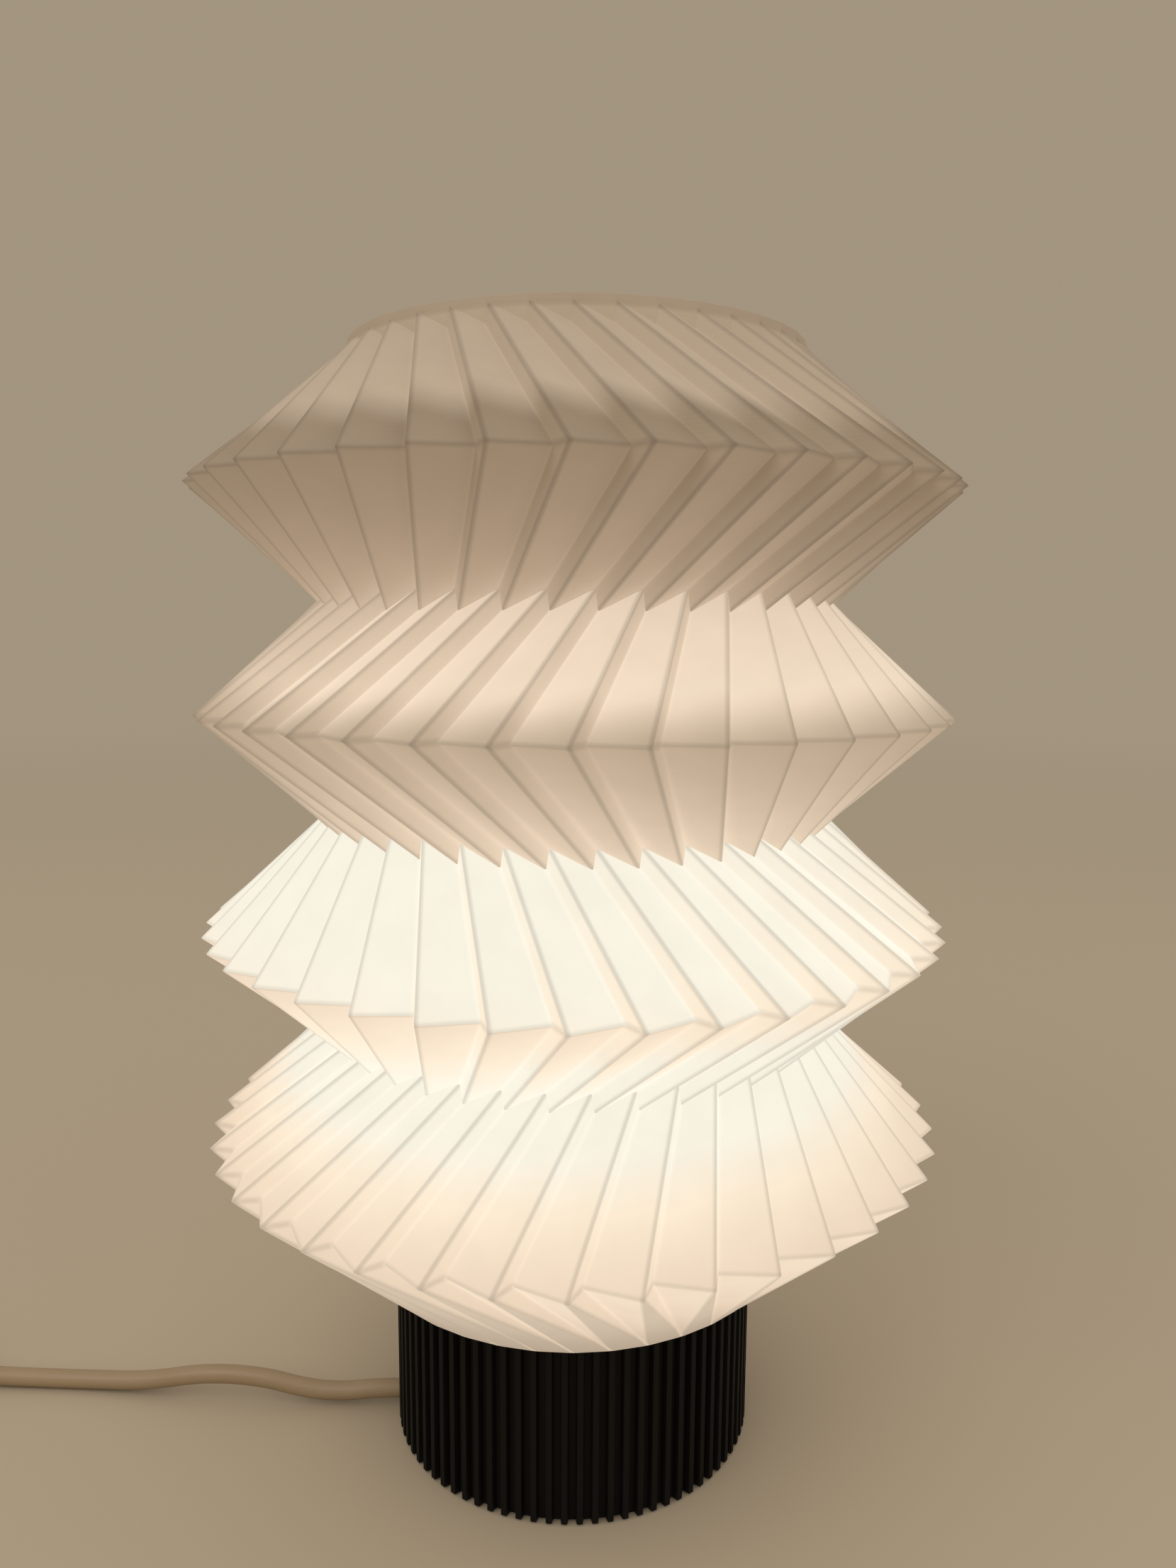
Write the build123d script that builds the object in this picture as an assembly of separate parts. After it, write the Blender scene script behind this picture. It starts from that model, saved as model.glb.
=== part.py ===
from build123d import *
import math
import os

# Lengths are in millimetres and angles in degrees. The floor is at height 0, the lamp's
# axis is Z, its front faces -Y, and the cord leaves the base at its left, towards -X.

# Shade: pleats that run unbroken through a stack of double cones, printed in one piece
pleat_count = 40
tier_count = 4
ring_radius = 100.0
valley_depth = 5.8
waist_depth = 33.6
tier_height = 56.8
lowest_ring_height = 92.0
narrow_face_share = 0.212
tip_shift_pleats = 3
front_tip_angle = -0.72
shade_wall_run = 2.0
collar_radius = 59.6
shade_top = 298.8
crease_below_lip = 1.6
rim_radius = 59.1
flange_thickness = 2.0

# Base: a ribbed cup standing upside down on its rim
base_height = 53.6
rib_count = 80
rib_tip_radius = 51.0
rib_depth = 1.8
rib_tip_width = 1.5
rib_root_width = 2.1
base_wall = 2.5
top_plate_thickness = 3.0
spigot_height = 5.0
spigot_wall = 2.5
boss_count = 4
boss_circle_radius = 36.0
boss_radius = 4.0
bottom_plate_thickness = 1.8
pad_thickness = 0.6
pad_width = 4.0
plate_screw_radius = 1.5
plate_screw_head_radius = 2.8
plate_screw_head_height = 1.3
plate_screw_length = 12.0

# Fits
seat_gap = 0.1
shade_clearance = 0.5
part_clearance = 0.3
slip_clearance = 0.1
thread_clearance = 0.05
pivot_clearance = 0.06

# Lampholder for a 27 mm screw cap
skirt_radius = 19.9
skirt_wall = 2.5
skirt_top = 59.0
skirt_length = 37.0
skirt_lip_thickness = 1.5
skirt_lip_clearance = 0.6
holder_cap_wall = 1.8
holder_cap_length = 14.0
holder_cap_overlap = 5.0
holder_cap_hole_radius = 11.0
plate_hole_clearance = 0.5
locking_ring_width = 7.0
locking_ring_height = 4.5
locking_ring_notches = 12
locking_ring_notch_radius = 1.6
insulator_thickness = 7.0
insulator_lift = 2.0
screw_shell_wall = 0.4
contact_thickness = 1.2
contact_radius = 4.0
terminal_size = 4.4
terminal_height = 5.0
terminal_screw_radius = 1.3
terminal_screw_length = 3.0

# Bulb
bulb_radius = 30.0
bulb_length = 107.4
bulb_lift = 0.2
bulb_cap_radius = 13.3
bulb_cap_wall = 1.4
bulb_cap_length = 27.0
bulb_thread_depth = 0.8
bulb_thread_turns = 5
bulb_tip_radius = 4.5
bulb_tip_height = 1.6
bulb_insulator_height = 4.0
bulb_insulator_radius = 11.0
housing_foot_radius = 15.5
housing_head_radius = 22.4
housing_wall = 2.0
board_ledge = 1.5
diffuser_wall = 1.5
led_board_thickness = 1.6
driver_board_thickness = 1.4
driver_board_width = 20.0

# Cord
cord_diameter = 5.2
core_diameter = 1.6
core_spread = 2.4
cord_exit_y = -3.5
cord_lead_out = 7.0
bushing_wall = 1.3
bushing_flange_radius = 5.2
bushing_flange_thickness = 1.5
bushing_tail_length = 21.0
bushing_tail_wall = 0.6
clamp_x = -16.0
clamp_width = 5.0
clamp_thickness = 2.4
clamp_post_radius = 2.4
clamp_post_offset = 6.0
clamp_screw_radius = 1.1
clamp_screw_head_radius = 2.1
clamp_screw_head_height = 1.1
cord_end_x = -12.0
lead_x = (-1.5, 6.5)
lead_bend_radius = 8.0
floor_clearance = 0.02

# Rocker switch on the cord
switch_near_end_x = -198.0
switch_y = 5.2
switch_length = 58.0
switch_width = 24.0
switch_height = 15.0
switch_wall = 1.6
switch_corner_radius = 8.0
switch_edge_radius = 2.0
switch_cord_height = 6.0
switch_stub_length = 9.0
rocker_radius = 9.5
rocker_width = 11.4
rocker_end_rise = 4.2
rocker_middle_rise = 3.2
rocker_foot_drop = 2.4
rocker_gap = 0.5
rocker_side_gap = 0.3
rocker_tilt = 8.0
rocker_pin_radius = 1.4
rocker_pin_length = 1.8
rocker_pivot_drop = 3.2
cheek_thickness = 2.0
cheek_drop = 2.6
switch_screw_radius = 1.2
switch_screw_head_radius = 2.3
switch_screw_head_height = 1.2
switch_screw_length = 10.0
switch_screw_recess = 0.4
switch_screw_x = 20.0
switch_screw_y = 7.0
switch_post_radius = 2.7
contact_block_x = 12.0
contact_block_length = 6.0
contact_block_width = 4.0
contact_block_rise = 1.6

# Put-away coil, its tie and the plug
coil_mean_diameters = 12.0
coil_turn_gap = 0.6
coil_turns_inward = 3.5
coil_lead_in = 34.0
tie_thickness = 0.7
tie_width = 4.0
tie_slack = 0.3
plug_run = 40.0
plug_length = 32.0
plug_width = 35.3
plug_height = 13.7
plug_face_width = 26.0
plug_tail_width = 14.0
plug_edge_radius = 2.5
relief_length = 20.0
relief_tip_wall = 0.9
relief_root_wall = 2.6
relief_groove_count = 5
relief_groove_width = 1.4
relief_groove_depth = 0.6
pin_radius = 2.0
pin_length = 19.0
pin_spacing = 19.0
pin_root_length = 6.0
pin_root_inset = 0.4
pin_tip_chamfer = 0.8
pin_sleeve_length = 10.0
pin_sleeve_wall = 0.3

# Places worked out from the sizes
pitch = 360 / pleat_count
narrow_angle = narrow_face_share * pitch
twist = (tip_shift_pleats * pitch - narrow_angle) / 2
valley_radius = ring_radius - valley_depth
waist_radius = ring_radius - waist_depth
shade_bottom = base_height + seat_gap
base_core_radius = rib_tip_radius - rib_depth
base_inner_radius = base_core_radius - base_wall
plate_underside = base_height - top_plate_thickness
spigot_radius = base_inner_radius - part_clearance
plate_top = pad_thickness + bottom_plate_thickness
plate_radius = base_inner_radius - part_clearance
plate_hole_radius = skirt_radius + plate_hole_clearance
cord_radius = cord_diameter / 2
core_radius = core_diameter / 2
cord_exit_height = plate_top + cord_radius
bushing_radius = cord_radius + bushing_wall
bushing_flange_x = -(base_inner_radius - bushing_flange_thickness)
bushing_tail_x = bushing_flange_x + bushing_tail_length
skirt_bottom = skirt_top - skirt_length
skirt_bore = skirt_radius - skirt_wall
holder_cap_top = skirt_bottom + holder_cap_overlap
holder_cap_bottom = holder_cap_top - holder_cap_length
insulator_bottom = skirt_bottom + insulator_lift
insulator_top = insulator_bottom + insulator_thickness
screw_shell_bore = bulb_cap_radius + thread_clearance
screw_shell_radius = screw_shell_bore + screw_shell_wall
skirt_lip_radius = screw_shell_radius + skirt_lip_clearance
bulb_bottom = insulator_top + contact_thickness + bulb_lift
bulb_cap_top = bulb_bottom + bulb_cap_length
bulb_centre = bulb_bottom + bulb_length - bulb_radius
housing_top = bulb_centre - math.sqrt(bulb_radius**2 - housing_head_radius**2)
cord_floor_height = cord_radius + floor_clearance
switch_far_end_x = switch_near_end_x - switch_length
switch_x = (switch_near_end_x + switch_far_end_x) / 2
pivot_height = switch_height - rocker_pivot_drop
turn_pitch = cord_diameter + coil_turn_gap
coil_outer_radius = (coil_mean_diameters * cord_diameter + coil_turns_inward * turn_pitch) / 2
coil_inner_radius = coil_outer_radius - coil_turns_inward * turn_pitch
coil_turns = 2 * coil_turns_inward + 0.5
coil_start_x = switch_far_end_x - coil_lead_in
coil_x = coil_start_x - cord_diameter
coil_y = switch_y - coil_outer_radius
coil_height = tie_thickness + tie_slack + cord_radius
coil_top_height = coil_height + turn_pitch
plug_y = coil_y - coil_outer_radius
relief_x = coil_start_x + plug_run
plug_x = relief_x + relief_length

# The cord's route, read off the photograph: out along the floor, over one low hump and on
# along the floor. Past the picture's edge it goes through the switch into the coil.
route_to_switch = [
    (-rib_tip_radius, cord_exit_y, cord_exit_height),
    (-rib_tip_radius - cord_lead_out, cord_exit_y, cord_exit_height),
    (-67.5, -3.3, 3.7),
    (-78.5, -2.8, 4.3),
    (-92.0, -2.1, 7.8),
    (-109.0, -1.0, 8.2),
    (-127.0, 1.5, 3.7),
    (-145.0, 3.8, cord_floor_height),
    (-162.0, 4.7, cord_floor_height),
    (-176.0, 5.25, 2.9),
    (-187.5, switch_y, switch_cord_height),
    (switch_near_end_x, switch_y, switch_cord_height),
]
route_to_coil = [
    (switch_far_end_x, switch_y, switch_cord_height),
    (switch_far_end_x - 0.3 * coil_lead_in, switch_y, switch_cord_height),
    (switch_far_end_x - 0.7 * coil_lead_in, switch_y, coil_height),
    (coil_start_x, switch_y, coil_height),
]
route_to_plug = [
    (coil_start_x, plug_y, coil_top_height),
    (coil_start_x + 0.3 * plug_run, plug_y, coil_top_height),
    (coil_start_x + 0.7 * plug_run, plug_y, plug_height / 2),
    (relief_x, plug_y, plug_height / 2),
]


def at(radius, angle, height):
    """Point at an angle counted from the front, anticlockwise as seen from above."""
    turn = math.radians(angle - 90)
    return Vector(radius * math.cos(turn), radius * math.sin(turn), height)


def post(radius, low, high, x=0.0, y=0.0):
    """Upright round bar between two heights."""
    on_end = (Align.CENTER, Align.CENTER, Align.MIN)
    return Pos(x, y, low) * Cylinder(radius, high - low, align=on_end)


def tube(outer, inner, low, high, x=0.0, y=0.0):
    """Upright round tube between two heights."""
    return post(outer, low, high, x, y) - post(inner, low, high, x, y)


def cone(low_radius, high_radius, low, high):
    """Upright cone about Z between two heights."""
    on_end = (Align.CENTER, Align.CENTER, Align.MIN)
    return Pos(0, 0, low) * Cone(low_radius, high_radius, high - low, align=on_end)


def rod(radius, start_x, end_x, y, height):
    """Round bar along X."""
    middle = (start_x + end_x) / 2
    return Pos(middle, y, height) * Rot(0, 90, 0) * Cylinder(radius, abs(end_x - start_x))


def block(low_corner, high_corner):
    """Box between two corners."""
    size = [high - low for low, high in zip(low_corner, high_corner)]
    middle = [(high + low) / 2 for low, high in zip(low_corner, high_corner)]
    return Pos(*middle) * Box(*size)


def round_places(count, radius, first_angle=0.0):
    """Points evenly spaced on a circle about Z."""
    turns = [math.radians(first_angle + 360 * k / count) for k in range(count)]
    return [(radius * math.cos(turn), radius * math.sin(turn)) for turn in turns]


# Shade

def waist_zigzag(inset):
    """Width and half height of the waist's zigzag that keep all pleat faces flat.

    A narrow face must hold both of its ring corners and both of its waist corners, and so
    must the wide face beside it. The two conditions give the two unknowns.
    """
    tip = ring_radius - inset
    valley = valley_radius - inset
    waist = waist_radius - inset

    def plan(radius, angle):
        return radius * math.cos(math.radians(angle)), radius * math.sin(math.radians(angle))

    def reach(width):
        tip_x, tip_y = plan(tip, twist + narrow_angle / 2)
        valley_x, valley_y = plan(valley, twist - narrow_angle / 2)
        across, along = plan(waist, width / 2)
        slope = (tip_y - valley_y) / (tip_x - valley_x)
        narrow = slope * (tip_x - across) - tip_y
        tip_x, tip_y = plan(tip, twist + narrow_angle / 2 - pitch / 2)
        valley_x, valley_y = plan(valley, twist - narrow_angle / 2 + pitch / 2)
        wide_across, wide_along = plan(waist, (pitch - width) / 2)
        slope = (tip_y - valley_y) / (tip_x - valley_x)
        wide = tip_y - slope * (tip_x - wide_across)
        return narrow, wide, along, wide_along

    low, high = 0.001, pitch / 2
    for _ in range(60):
        width = (low + high) / 2
        narrow, wide, along, wide_along = reach(width)
        if wide_along * narrow > along * wide:
            low = width
        else:
            high = width
    narrow, wide, along, wide_along = reach(width)
    return width, along * (tier_height / 2) / narrow


def level(middle, spread, minus, plus):
    """Corners round one level: each pleat has a minus and a plus (radius, height)."""
    corners = []
    for k in range(pleat_count):
        centre = middle + k * pitch
        corners.append(at(minus[0], centre - spread / 2, minus[1]))
        corners.append(at(plus[0], centre + spread / 2, plus[1]))
    return corners


def run_on(start, through, radius):
    """Carries each crease on, straight in plan and in slope, to a smaller radius."""
    ends = []
    for a, b in zip(start, through):
        step = b - a
        flat = step.X**2 + step.Y**2
        half = a.X * step.X + a.Y * step.Y
        rest = a.X**2 + a.Y**2 - radius**2
        share = (-half - math.sqrt(half**2 - flat * rest)) / flat
        ends.append(a + step * share)
    return ends


def at_height(corners, height):
    return [Vector(corner.X, corner.Y, height) for corner in corners]


def shade_levels(inset, end_radius, end_height):
    """Corner levels of one skin of the shade, from its rim up to its lip."""
    tip = ring_radius - inset
    valley = valley_radius - inset
    waist = waist_radius - inset
    width, swing = waist_zigzag(inset)
    front = front_tip_angle - narrow_angle / 2

    def ring(height, tip_first):
        if tip_first:
            return level(front - 2 * twist, narrow_angle, (tip, height), (valley, height))
        return level(front, narrow_angle, (valley, height), (tip, height))

    def waist_level(height, high_first):
        lift = swing if high_first else -swing
        return level(front - twist, width, (waist, height + lift), (waist, height - lift))

    half_tier = tier_height / 2
    levels = []
    for tier in range(tier_count):
        height = lowest_ring_height + tier * tier_height
        tip_first = (tier_count - tier) % 2 == 0
        here = ring(height, tip_first)
        if tier == 0:
            below = waist_level(height - half_tier, high_first=not tip_first)
            levels.append(at_height(run_on(here, below, end_radius), end_height))
        levels.append(here)
        if tier < tier_count - 1:
            levels.append(waist_level(height + half_tier, high_first=tip_first))
    top_ring = levels[-1]
    ring_height = top_ring[0].Z
    above = waist_level(ring_height + half_tier, high_first=False)
    ends = run_on(top_ring, above, collar_radius - inset)
    peak = max(corner.Z for corner in ends)
    flatten = (shade_top - crease_below_lip - ring_height) / (peak - ring_height)
    levels.append([
        Vector(corner.X, corner.Y, ring_height + flatten * (corner.Z - ring_height))
        for corner in ends
    ])
    return levels


def flat_face(*corners):
    return Face(Wire.make_polygon(corners, close=True))


def shade_skin(inset, end_radius, end_height, top_height):
    """Solid bounded by one skin of the shade, with a flat floor and lid."""
    levels = shade_levels(inset, end_radius, end_height)
    levels.append(at_height(levels[-1], top_height))
    corner_count = 2 * pleat_count
    faces = [flat_face(*levels[0]), flat_face(*levels[-1])]
    for number, (lower, upper) in enumerate(zip(levels, levels[1:])):
        for k in range(corner_count):
            after = (k + 1) % corner_count
            if number == 0:
                faces.append(flat_face(lower[k], lower[after], upper[after]))
                faces.append(flat_face(lower[k], upper[after], upper[k]))
            else:
                faces.append(flat_face(lower[k], lower[after], upper[after], upper[k]))
    return Solid(Shell(faces))


def make_shade():
    outside = shade_skin(0.0, rim_radius, shade_bottom, shade_top)
    inner_rim_radius = rim_radius + flange_thickness - shade_wall_run
    flange_top = shade_bottom + flange_thickness
    inside = shade_skin(shade_wall_run, inner_rim_radius, flange_top, shade_top + 1)
    mouth = post(spigot_radius + shade_clearance, shade_bottom - 1, flange_top + 1)
    return outside - inside - mouth


# Base

def rib_outline():
    """Outline of the ribbed base, seen from above."""
    corners = []
    root = math.degrees(rib_root_width / 2 / base_core_radius)
    tip = math.degrees(rib_tip_width / 2 / rib_tip_radius)
    for k in range(rib_count):
        centre = (k + 0.5) * 360 / rib_count
        corners.append(at(base_core_radius, centre - root, 0))
        corners.append(at(rib_tip_radius, centre - tip, 0))
        corners.append(at(rib_tip_radius, centre + tip, 0))
        corners.append(at(base_core_radius, centre + root, 0))
    return flat_face(*corners)


def make_base_shell():
    body = Pos(0, 0, pad_thickness) * extrude(rib_outline(), base_height - pad_thickness)
    body -= post(base_inner_radius, pad_thickness, plate_underside)
    body -= post(plate_hole_radius, plate_underside, base_height)
    inner_spigot = spigot_radius - spigot_wall
    body += tube(spigot_radius, inner_spigot, base_height, base_height + spigot_height)
    for x, y in round_places(boss_count, boss_circle_radius, 45):
        body += post(boss_radius, plate_top, plate_underside, x, y)
        pilot_top = pad_thickness + plate_screw_length + 1
        body -= post(plate_screw_radius, plate_top, pilot_top, x, y)
    notch = bushing_radius + thread_clearance
    body -= rod(notch, -rib_tip_radius - 1, bushing_flange_x, cord_exit_y, cord_exit_height)
    body -= block(
        (-rib_tip_radius - 1, cord_exit_y - notch, pad_thickness),
        (bushing_flange_x, cord_exit_y + notch, cord_exit_height),
    )
    return body


def make_bottom_plate():
    plate = post(plate_radius, pad_thickness, plate_top)
    for x, y in round_places(boss_count, boss_circle_radius, 45):
        head = cone(
            plate_screw_head_radius + slip_clearance,
            plate_screw_radius + slip_clearance,
            pad_thickness,
            pad_thickness + plate_screw_head_height,
        )
        plate -= Pos(x, y, 0) * head
        plate -= post(plate_screw_radius + slip_clearance, pad_thickness, plate_top, x, y)
    slot = bushing_flange_radius + part_clearance
    plate -= block(
        (-plate_radius - 1, cord_exit_y - slot, pad_thickness),
        (bushing_tail_x + part_clearance, cord_exit_y + slot, plate_top),
    )
    for side in (-1, 1):
        y = cord_exit_y + side * clamp_post_offset
        plate += post(clamp_post_radius, plate_top, cord_exit_height + cord_radius, clamp_x, y)
        plate -= post(clamp_screw_radius, plate_top, cord_exit_height + cord_radius, clamp_x, y)
    return plate


def make_plate_screws():
    screw = cone(
        plate_screw_head_radius,
        plate_screw_radius,
        pad_thickness,
        pad_thickness + plate_screw_head_height,
    )
    screw += post(plate_screw_radius, pad_thickness, pad_thickness + plate_screw_length)
    driver = block(
        (-plate_screw_head_radius * 0.6, -0.3, pad_thickness),
        (plate_screw_head_radius * 0.6, 0.3, pad_thickness + plate_screw_head_height / 2),
    )
    screw -= driver
    screw -= Rot(0, 0, 90) * driver
    places = round_places(boss_count, boss_circle_radius, 45)
    return [Pos(x, y, 0) * screw for x, y in places]


def make_pad():
    return tube(plate_radius, plate_radius - pad_width, 0, pad_thickness)


# Cord entry inside the base

def make_bushing():
    body = rod(bushing_radius, -base_core_radius, bushing_flange_x, cord_exit_y, cord_exit_height)
    flange_end = bushing_flange_x + bushing_flange_thickness
    body += rod(
        bushing_flange_radius, bushing_flange_x, flange_end, cord_exit_y, cord_exit_height
    )
    tail = Cone(
        bushing_radius,
        cord_radius + bushing_tail_wall,
        bushing_tail_x - flange_end,
        align=(Align.CENTER, Align.CENTER, Align.MIN),
    )
    body += Pos(flange_end, cord_exit_y, cord_exit_height) * Rot(0, 90, 0) * tail
    body -= rod(cord_radius, -rib_tip_radius, bushing_tail_x, cord_exit_y, cord_exit_height)
    floor_level = pad_thickness + slip_clearance
    body -= block(
        (-rib_tip_radius, cord_exit_y - bushing_flange_radius - 1, -bushing_flange_radius),
        (bushing_tail_x, cord_exit_y + bushing_flange_radius + 1, floor_level),
    )
    return body


def make_inner_cord():
    return rod(cord_radius, -rib_tip_radius, cord_end_x, cord_exit_y, cord_exit_height)


def make_clamp_bar():
    top = cord_exit_height + cord_radius
    reach = clamp_post_offset + clamp_post_radius
    bar = block(
        (clamp_x - clamp_width / 2, cord_exit_y - reach, top),
        (clamp_x + clamp_width / 2, cord_exit_y + reach, top + clamp_thickness),
    )
    bar = fillet(bar.edges().filter_by(Axis.Z), clamp_width / 3)
    for side in (-1, 1):
        y = cord_exit_y + side * clamp_post_offset
        bar -= post(clamp_screw_radius, top, top + clamp_thickness, clamp_x, y)
    return bar


def make_clamp_screws():
    top = cord_exit_height + cord_radius + clamp_thickness
    screws = []
    for side in (-1, 1):
        y = cord_exit_y + side * clamp_post_offset
        screw = post(clamp_screw_radius, plate_top, top, clamp_x, y)
        screw += post(clamp_screw_head_radius, top, top + clamp_screw_head_height, clamp_x, y)
        screws.append(screw)
    return screws


def terminal_places():
    return [(lead_x[0], cord_exit_y - core_spread / 2), (lead_x[1], cord_exit_y + core_spread / 2)]


def make_leads():
    """Two cores from the sheath's end, bent up through the holder's cap."""
    leads = []
    for x, y in terminal_places():
        points = [
            (cord_end_x, y, cord_exit_height),
            (x, y, cord_exit_height),
            (x, y, insulator_bottom - terminal_height),
        ]
        path = FilletPolyline(*points, radius=lead_bend_radius)
        start = Plane(origin=path @ 0, z_dir=path % 0)
        leads.append(sweep(start * Circle(core_radius), path=path))
    return leads


# Lampholder

def make_holder_cap():
    bore = skirt_radius + thread_clearance
    body = post(bore + holder_cap_wall, holder_cap_bottom, holder_cap_top)
    body -= post(bore, skirt_bottom, holder_cap_top)
    ledge = skirt_bore - slip_clearance - holder_cap_wall
    body -= post(ledge, holder_cap_bottom + holder_cap_wall, skirt_bottom)
    body -= post(holder_cap_hole_radius, holder_cap_bottom, holder_cap_bottom + holder_cap_wall)
    collar_top = insulator_bottom
    body += tube(skirt_bore - slip_clearance, ledge, skirt_bottom, collar_top)
    return body


def make_skirt():
    body = tube(skirt_radius, skirt_bore, skirt_bottom, skirt_top)
    lip_bottom = skirt_top - skirt_lip_thickness
    body += tube(skirt_radius, skirt_lip_radius, lip_bottom, skirt_top)
    return body


def make_locking_ring(low):
    bore = skirt_radius + thread_clearance
    outer = bore + locking_ring_width
    ring = tube(outer, bore, low, low + locking_ring_height)
    for x, y in round_places(locking_ring_notches, outer):
        ring -= post(locking_ring_notch_radius, low, low + locking_ring_height, x, y)
    return ring


def make_insulator():
    return post(skirt_bore - slip_clearance, insulator_bottom, insulator_top)


def make_screw_shell():
    top = skirt_top - skirt_lip_thickness
    return tube(screw_shell_radius, screw_shell_bore, insulator_top, top)


def make_centre_contact():
    return post(contact_radius, insulator_top, insulator_top + contact_thickness)


def make_terminals():
    """Brass blocks under the insulator, where the two cores end."""
    half = terminal_size / 2
    low = insulator_bottom - terminal_height
    return [
        block((x - half, y - half, low), (x + half, y + half, insulator_bottom))
        for x, y in terminal_places()
    ]


def make_terminal_screws():
    height = insulator_bottom - terminal_height / 2
    screws = []
    for (x, y), side in zip(terminal_places(), (-1, 1)):
        start = y + side * terminal_size / 2
        middle = start + side * terminal_screw_length / 2
        screw = Rot(90, 0, 0) * Cylinder(terminal_screw_radius, terminal_screw_length)
        screws.append(Pos(x, middle, height) * screw)
    return screws


# Bulb

def make_bulb_tip():
    return post(bulb_tip_radius, bulb_bottom, bulb_bottom + bulb_tip_height)


def make_bulb_insulator():
    low = bulb_bottom + bulb_tip_height
    return cone(bulb_tip_radius, bulb_insulator_radius, low, low + bulb_insulator_height)


def make_bulb_cap():
    """Screw cap: its thread is drawn as rings, five turns in its straight part."""
    low = bulb_bottom + bulb_tip_height + bulb_insulator_height
    bore = bulb_cap_radius - bulb_cap_wall
    turn = (bulb_cap_top - low) / (bulb_thread_turns + 1)
    valley = bulb_cap_radius - bulb_thread_depth
    body = tube(bulb_cap_radius, bore, low, bulb_cap_top)
    for k in range(bulb_thread_turns):
        middle = low + (k + 1) * turn
        groove = Plane.XZ * Pos(valley + 2 * bulb_thread_depth, middle)
        groove *= Circle(2 * bulb_thread_depth)
        body -= revolve(groove, Axis.Z)
    floor_disc = post(bore, low, low + bulb_cap_wall)
    return body + floor_disc


def make_housing():
    low = bulb_cap_top
    board_bottom = housing_top - led_board_thickness
    body = cone(housing_foot_radius, housing_head_radius, low, housing_top)
    body -= post(housing_head_radius - housing_wall, board_bottom, housing_top)
    foot = housing_foot_radius - housing_wall
    head = housing_head_radius - housing_wall - board_ledge
    body -= cone(foot, head, low + housing_wall, board_bottom)
    return body


def make_led_board():
    board_bottom = housing_top - led_board_thickness
    return post(housing_head_radius - housing_wall - slip_clearance, board_bottom, housing_top)


def make_driver_board():
    low = bulb_cap_top + housing_wall
    high = housing_top - led_board_thickness
    half = driver_board_width / 2
    return block((-half, 0, low), (half, driver_board_thickness, high))


def make_diffuser():
    globe = Pos(0, 0, bulb_centre) * Sphere(bulb_radius)
    globe -= Pos(0, 0, bulb_centre) * Sphere(bulb_radius - diffuser_wall)
    cut = 2 * bulb_radius
    return globe - block((-cut, -cut, bulb_centre - cut), (cut, cut, housing_top))


# Cord

def corner_radii(points):
    """Largest arc for each corner: 0.45 of the shorter run over tan of half the turn."""
    radii = []
    for a, b, c in zip(points, points[1:], points[2:]):
        first = Vector(*b) - Vector(*a)
        second = Vector(*c) - Vector(*b)
        half_turn = math.radians(first.get_angle(second)) / 2
        shorter = min(first.length, second.length)
        radii.append(0.45 * shorter / math.tan(half_turn))
    return radii


def cord_along(name, points):
    """Round cord along straight runs joined by tangent arcs."""
    radii = corner_radii(points)
    path = FilletPolyline(*points, radius=radii)
    start = Plane(origin=path @ 0, z_dir=path % 0)
    solid = sweep(start * Circle(cord_radius), path=path)
    section = math.pi * cord_radius**2
    share = solid.volume / (section * path.length)
    rounded = [round(radius) for radius in radii]
    print(f"{name}: length {path.length:.1f}, bend radii {rounded}, volume ratio {share:.4f}")
    return solid


def coil_place(turns):
    """Where the coiled cord's axis is after so many turns, counted from its start.

    It spirals in on the lower layer, climbs in the half turn at the middle, where it also
    dips inward to clear the turn beside it, and spirals out again on the upper layer.
    """
    beyond = turns - coil_turns_inward
    if beyond <= 0:
        radius = coil_outer_radius - turns * turn_pitch
        height = coil_height
    elif beyond < 0.5:
        part = beyond / 0.5
        radius = coil_inner_radius - turn_pitch / 4 * math.sin(math.pi * part)
        height = coil_height + turn_pitch * (1 - math.cos(math.pi * part)) / 2
    else:
        radius = coil_inner_radius + (beyond - 0.5) * turn_pitch
        height = coil_top_height
    angle = math.radians(90 + 360 * turns)
    return Vector(coil_x + radius * math.cos(angle), coil_y + radius * math.sin(angle), height)


def coil_heading(turns):
    """Unit vector along the cord, square to the straight ends at both ends."""
    if turns == 0:
        return Vector(-1, 0, 0)
    if turns == coil_turns:
        return Vector(1, 0, 0)
    step = 0.001
    return (coil_place(turns + step) - coil_place(turns - step)).normalized()


def biarc(start, start_heading, end, end_heading):
    """Two arcs that join two points and keep both headings."""
    chord = end - start
    both = start_heading + end_heading
    opening = 2 * (1 - start_heading.dot(end_heading))
    across = chord.dot(both)
    reach = (math.sqrt(across**2 + opening * chord.dot(chord)) - across) / opening
    near = start + start_heading * reach
    far = end - end_heading * reach
    middle = (near + far) * 0.5
    first = Edge.make_tangent_arc(start, start_heading, middle)
    second = Edge.make_tangent_arc(middle, (far - near).normalized(), end)
    return [first, second]


def coil_path():
    quarters = round(4 * coil_turns)
    first = coil_place(0)
    last = coil_place(coil_turns)
    lead = Vector(cord_diameter, 0, 0)
    edges = [Edge.make_line(first + lead, first)]
    for k in range(quarters):
        here, after = k / 4, (k + 1) / 4
        edges += biarc(
            coil_place(here), coil_heading(here), coil_place(after), coil_heading(after)
        )
    edges.append(Edge.make_line(last, last + lead))
    return Wire(edges)


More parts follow.
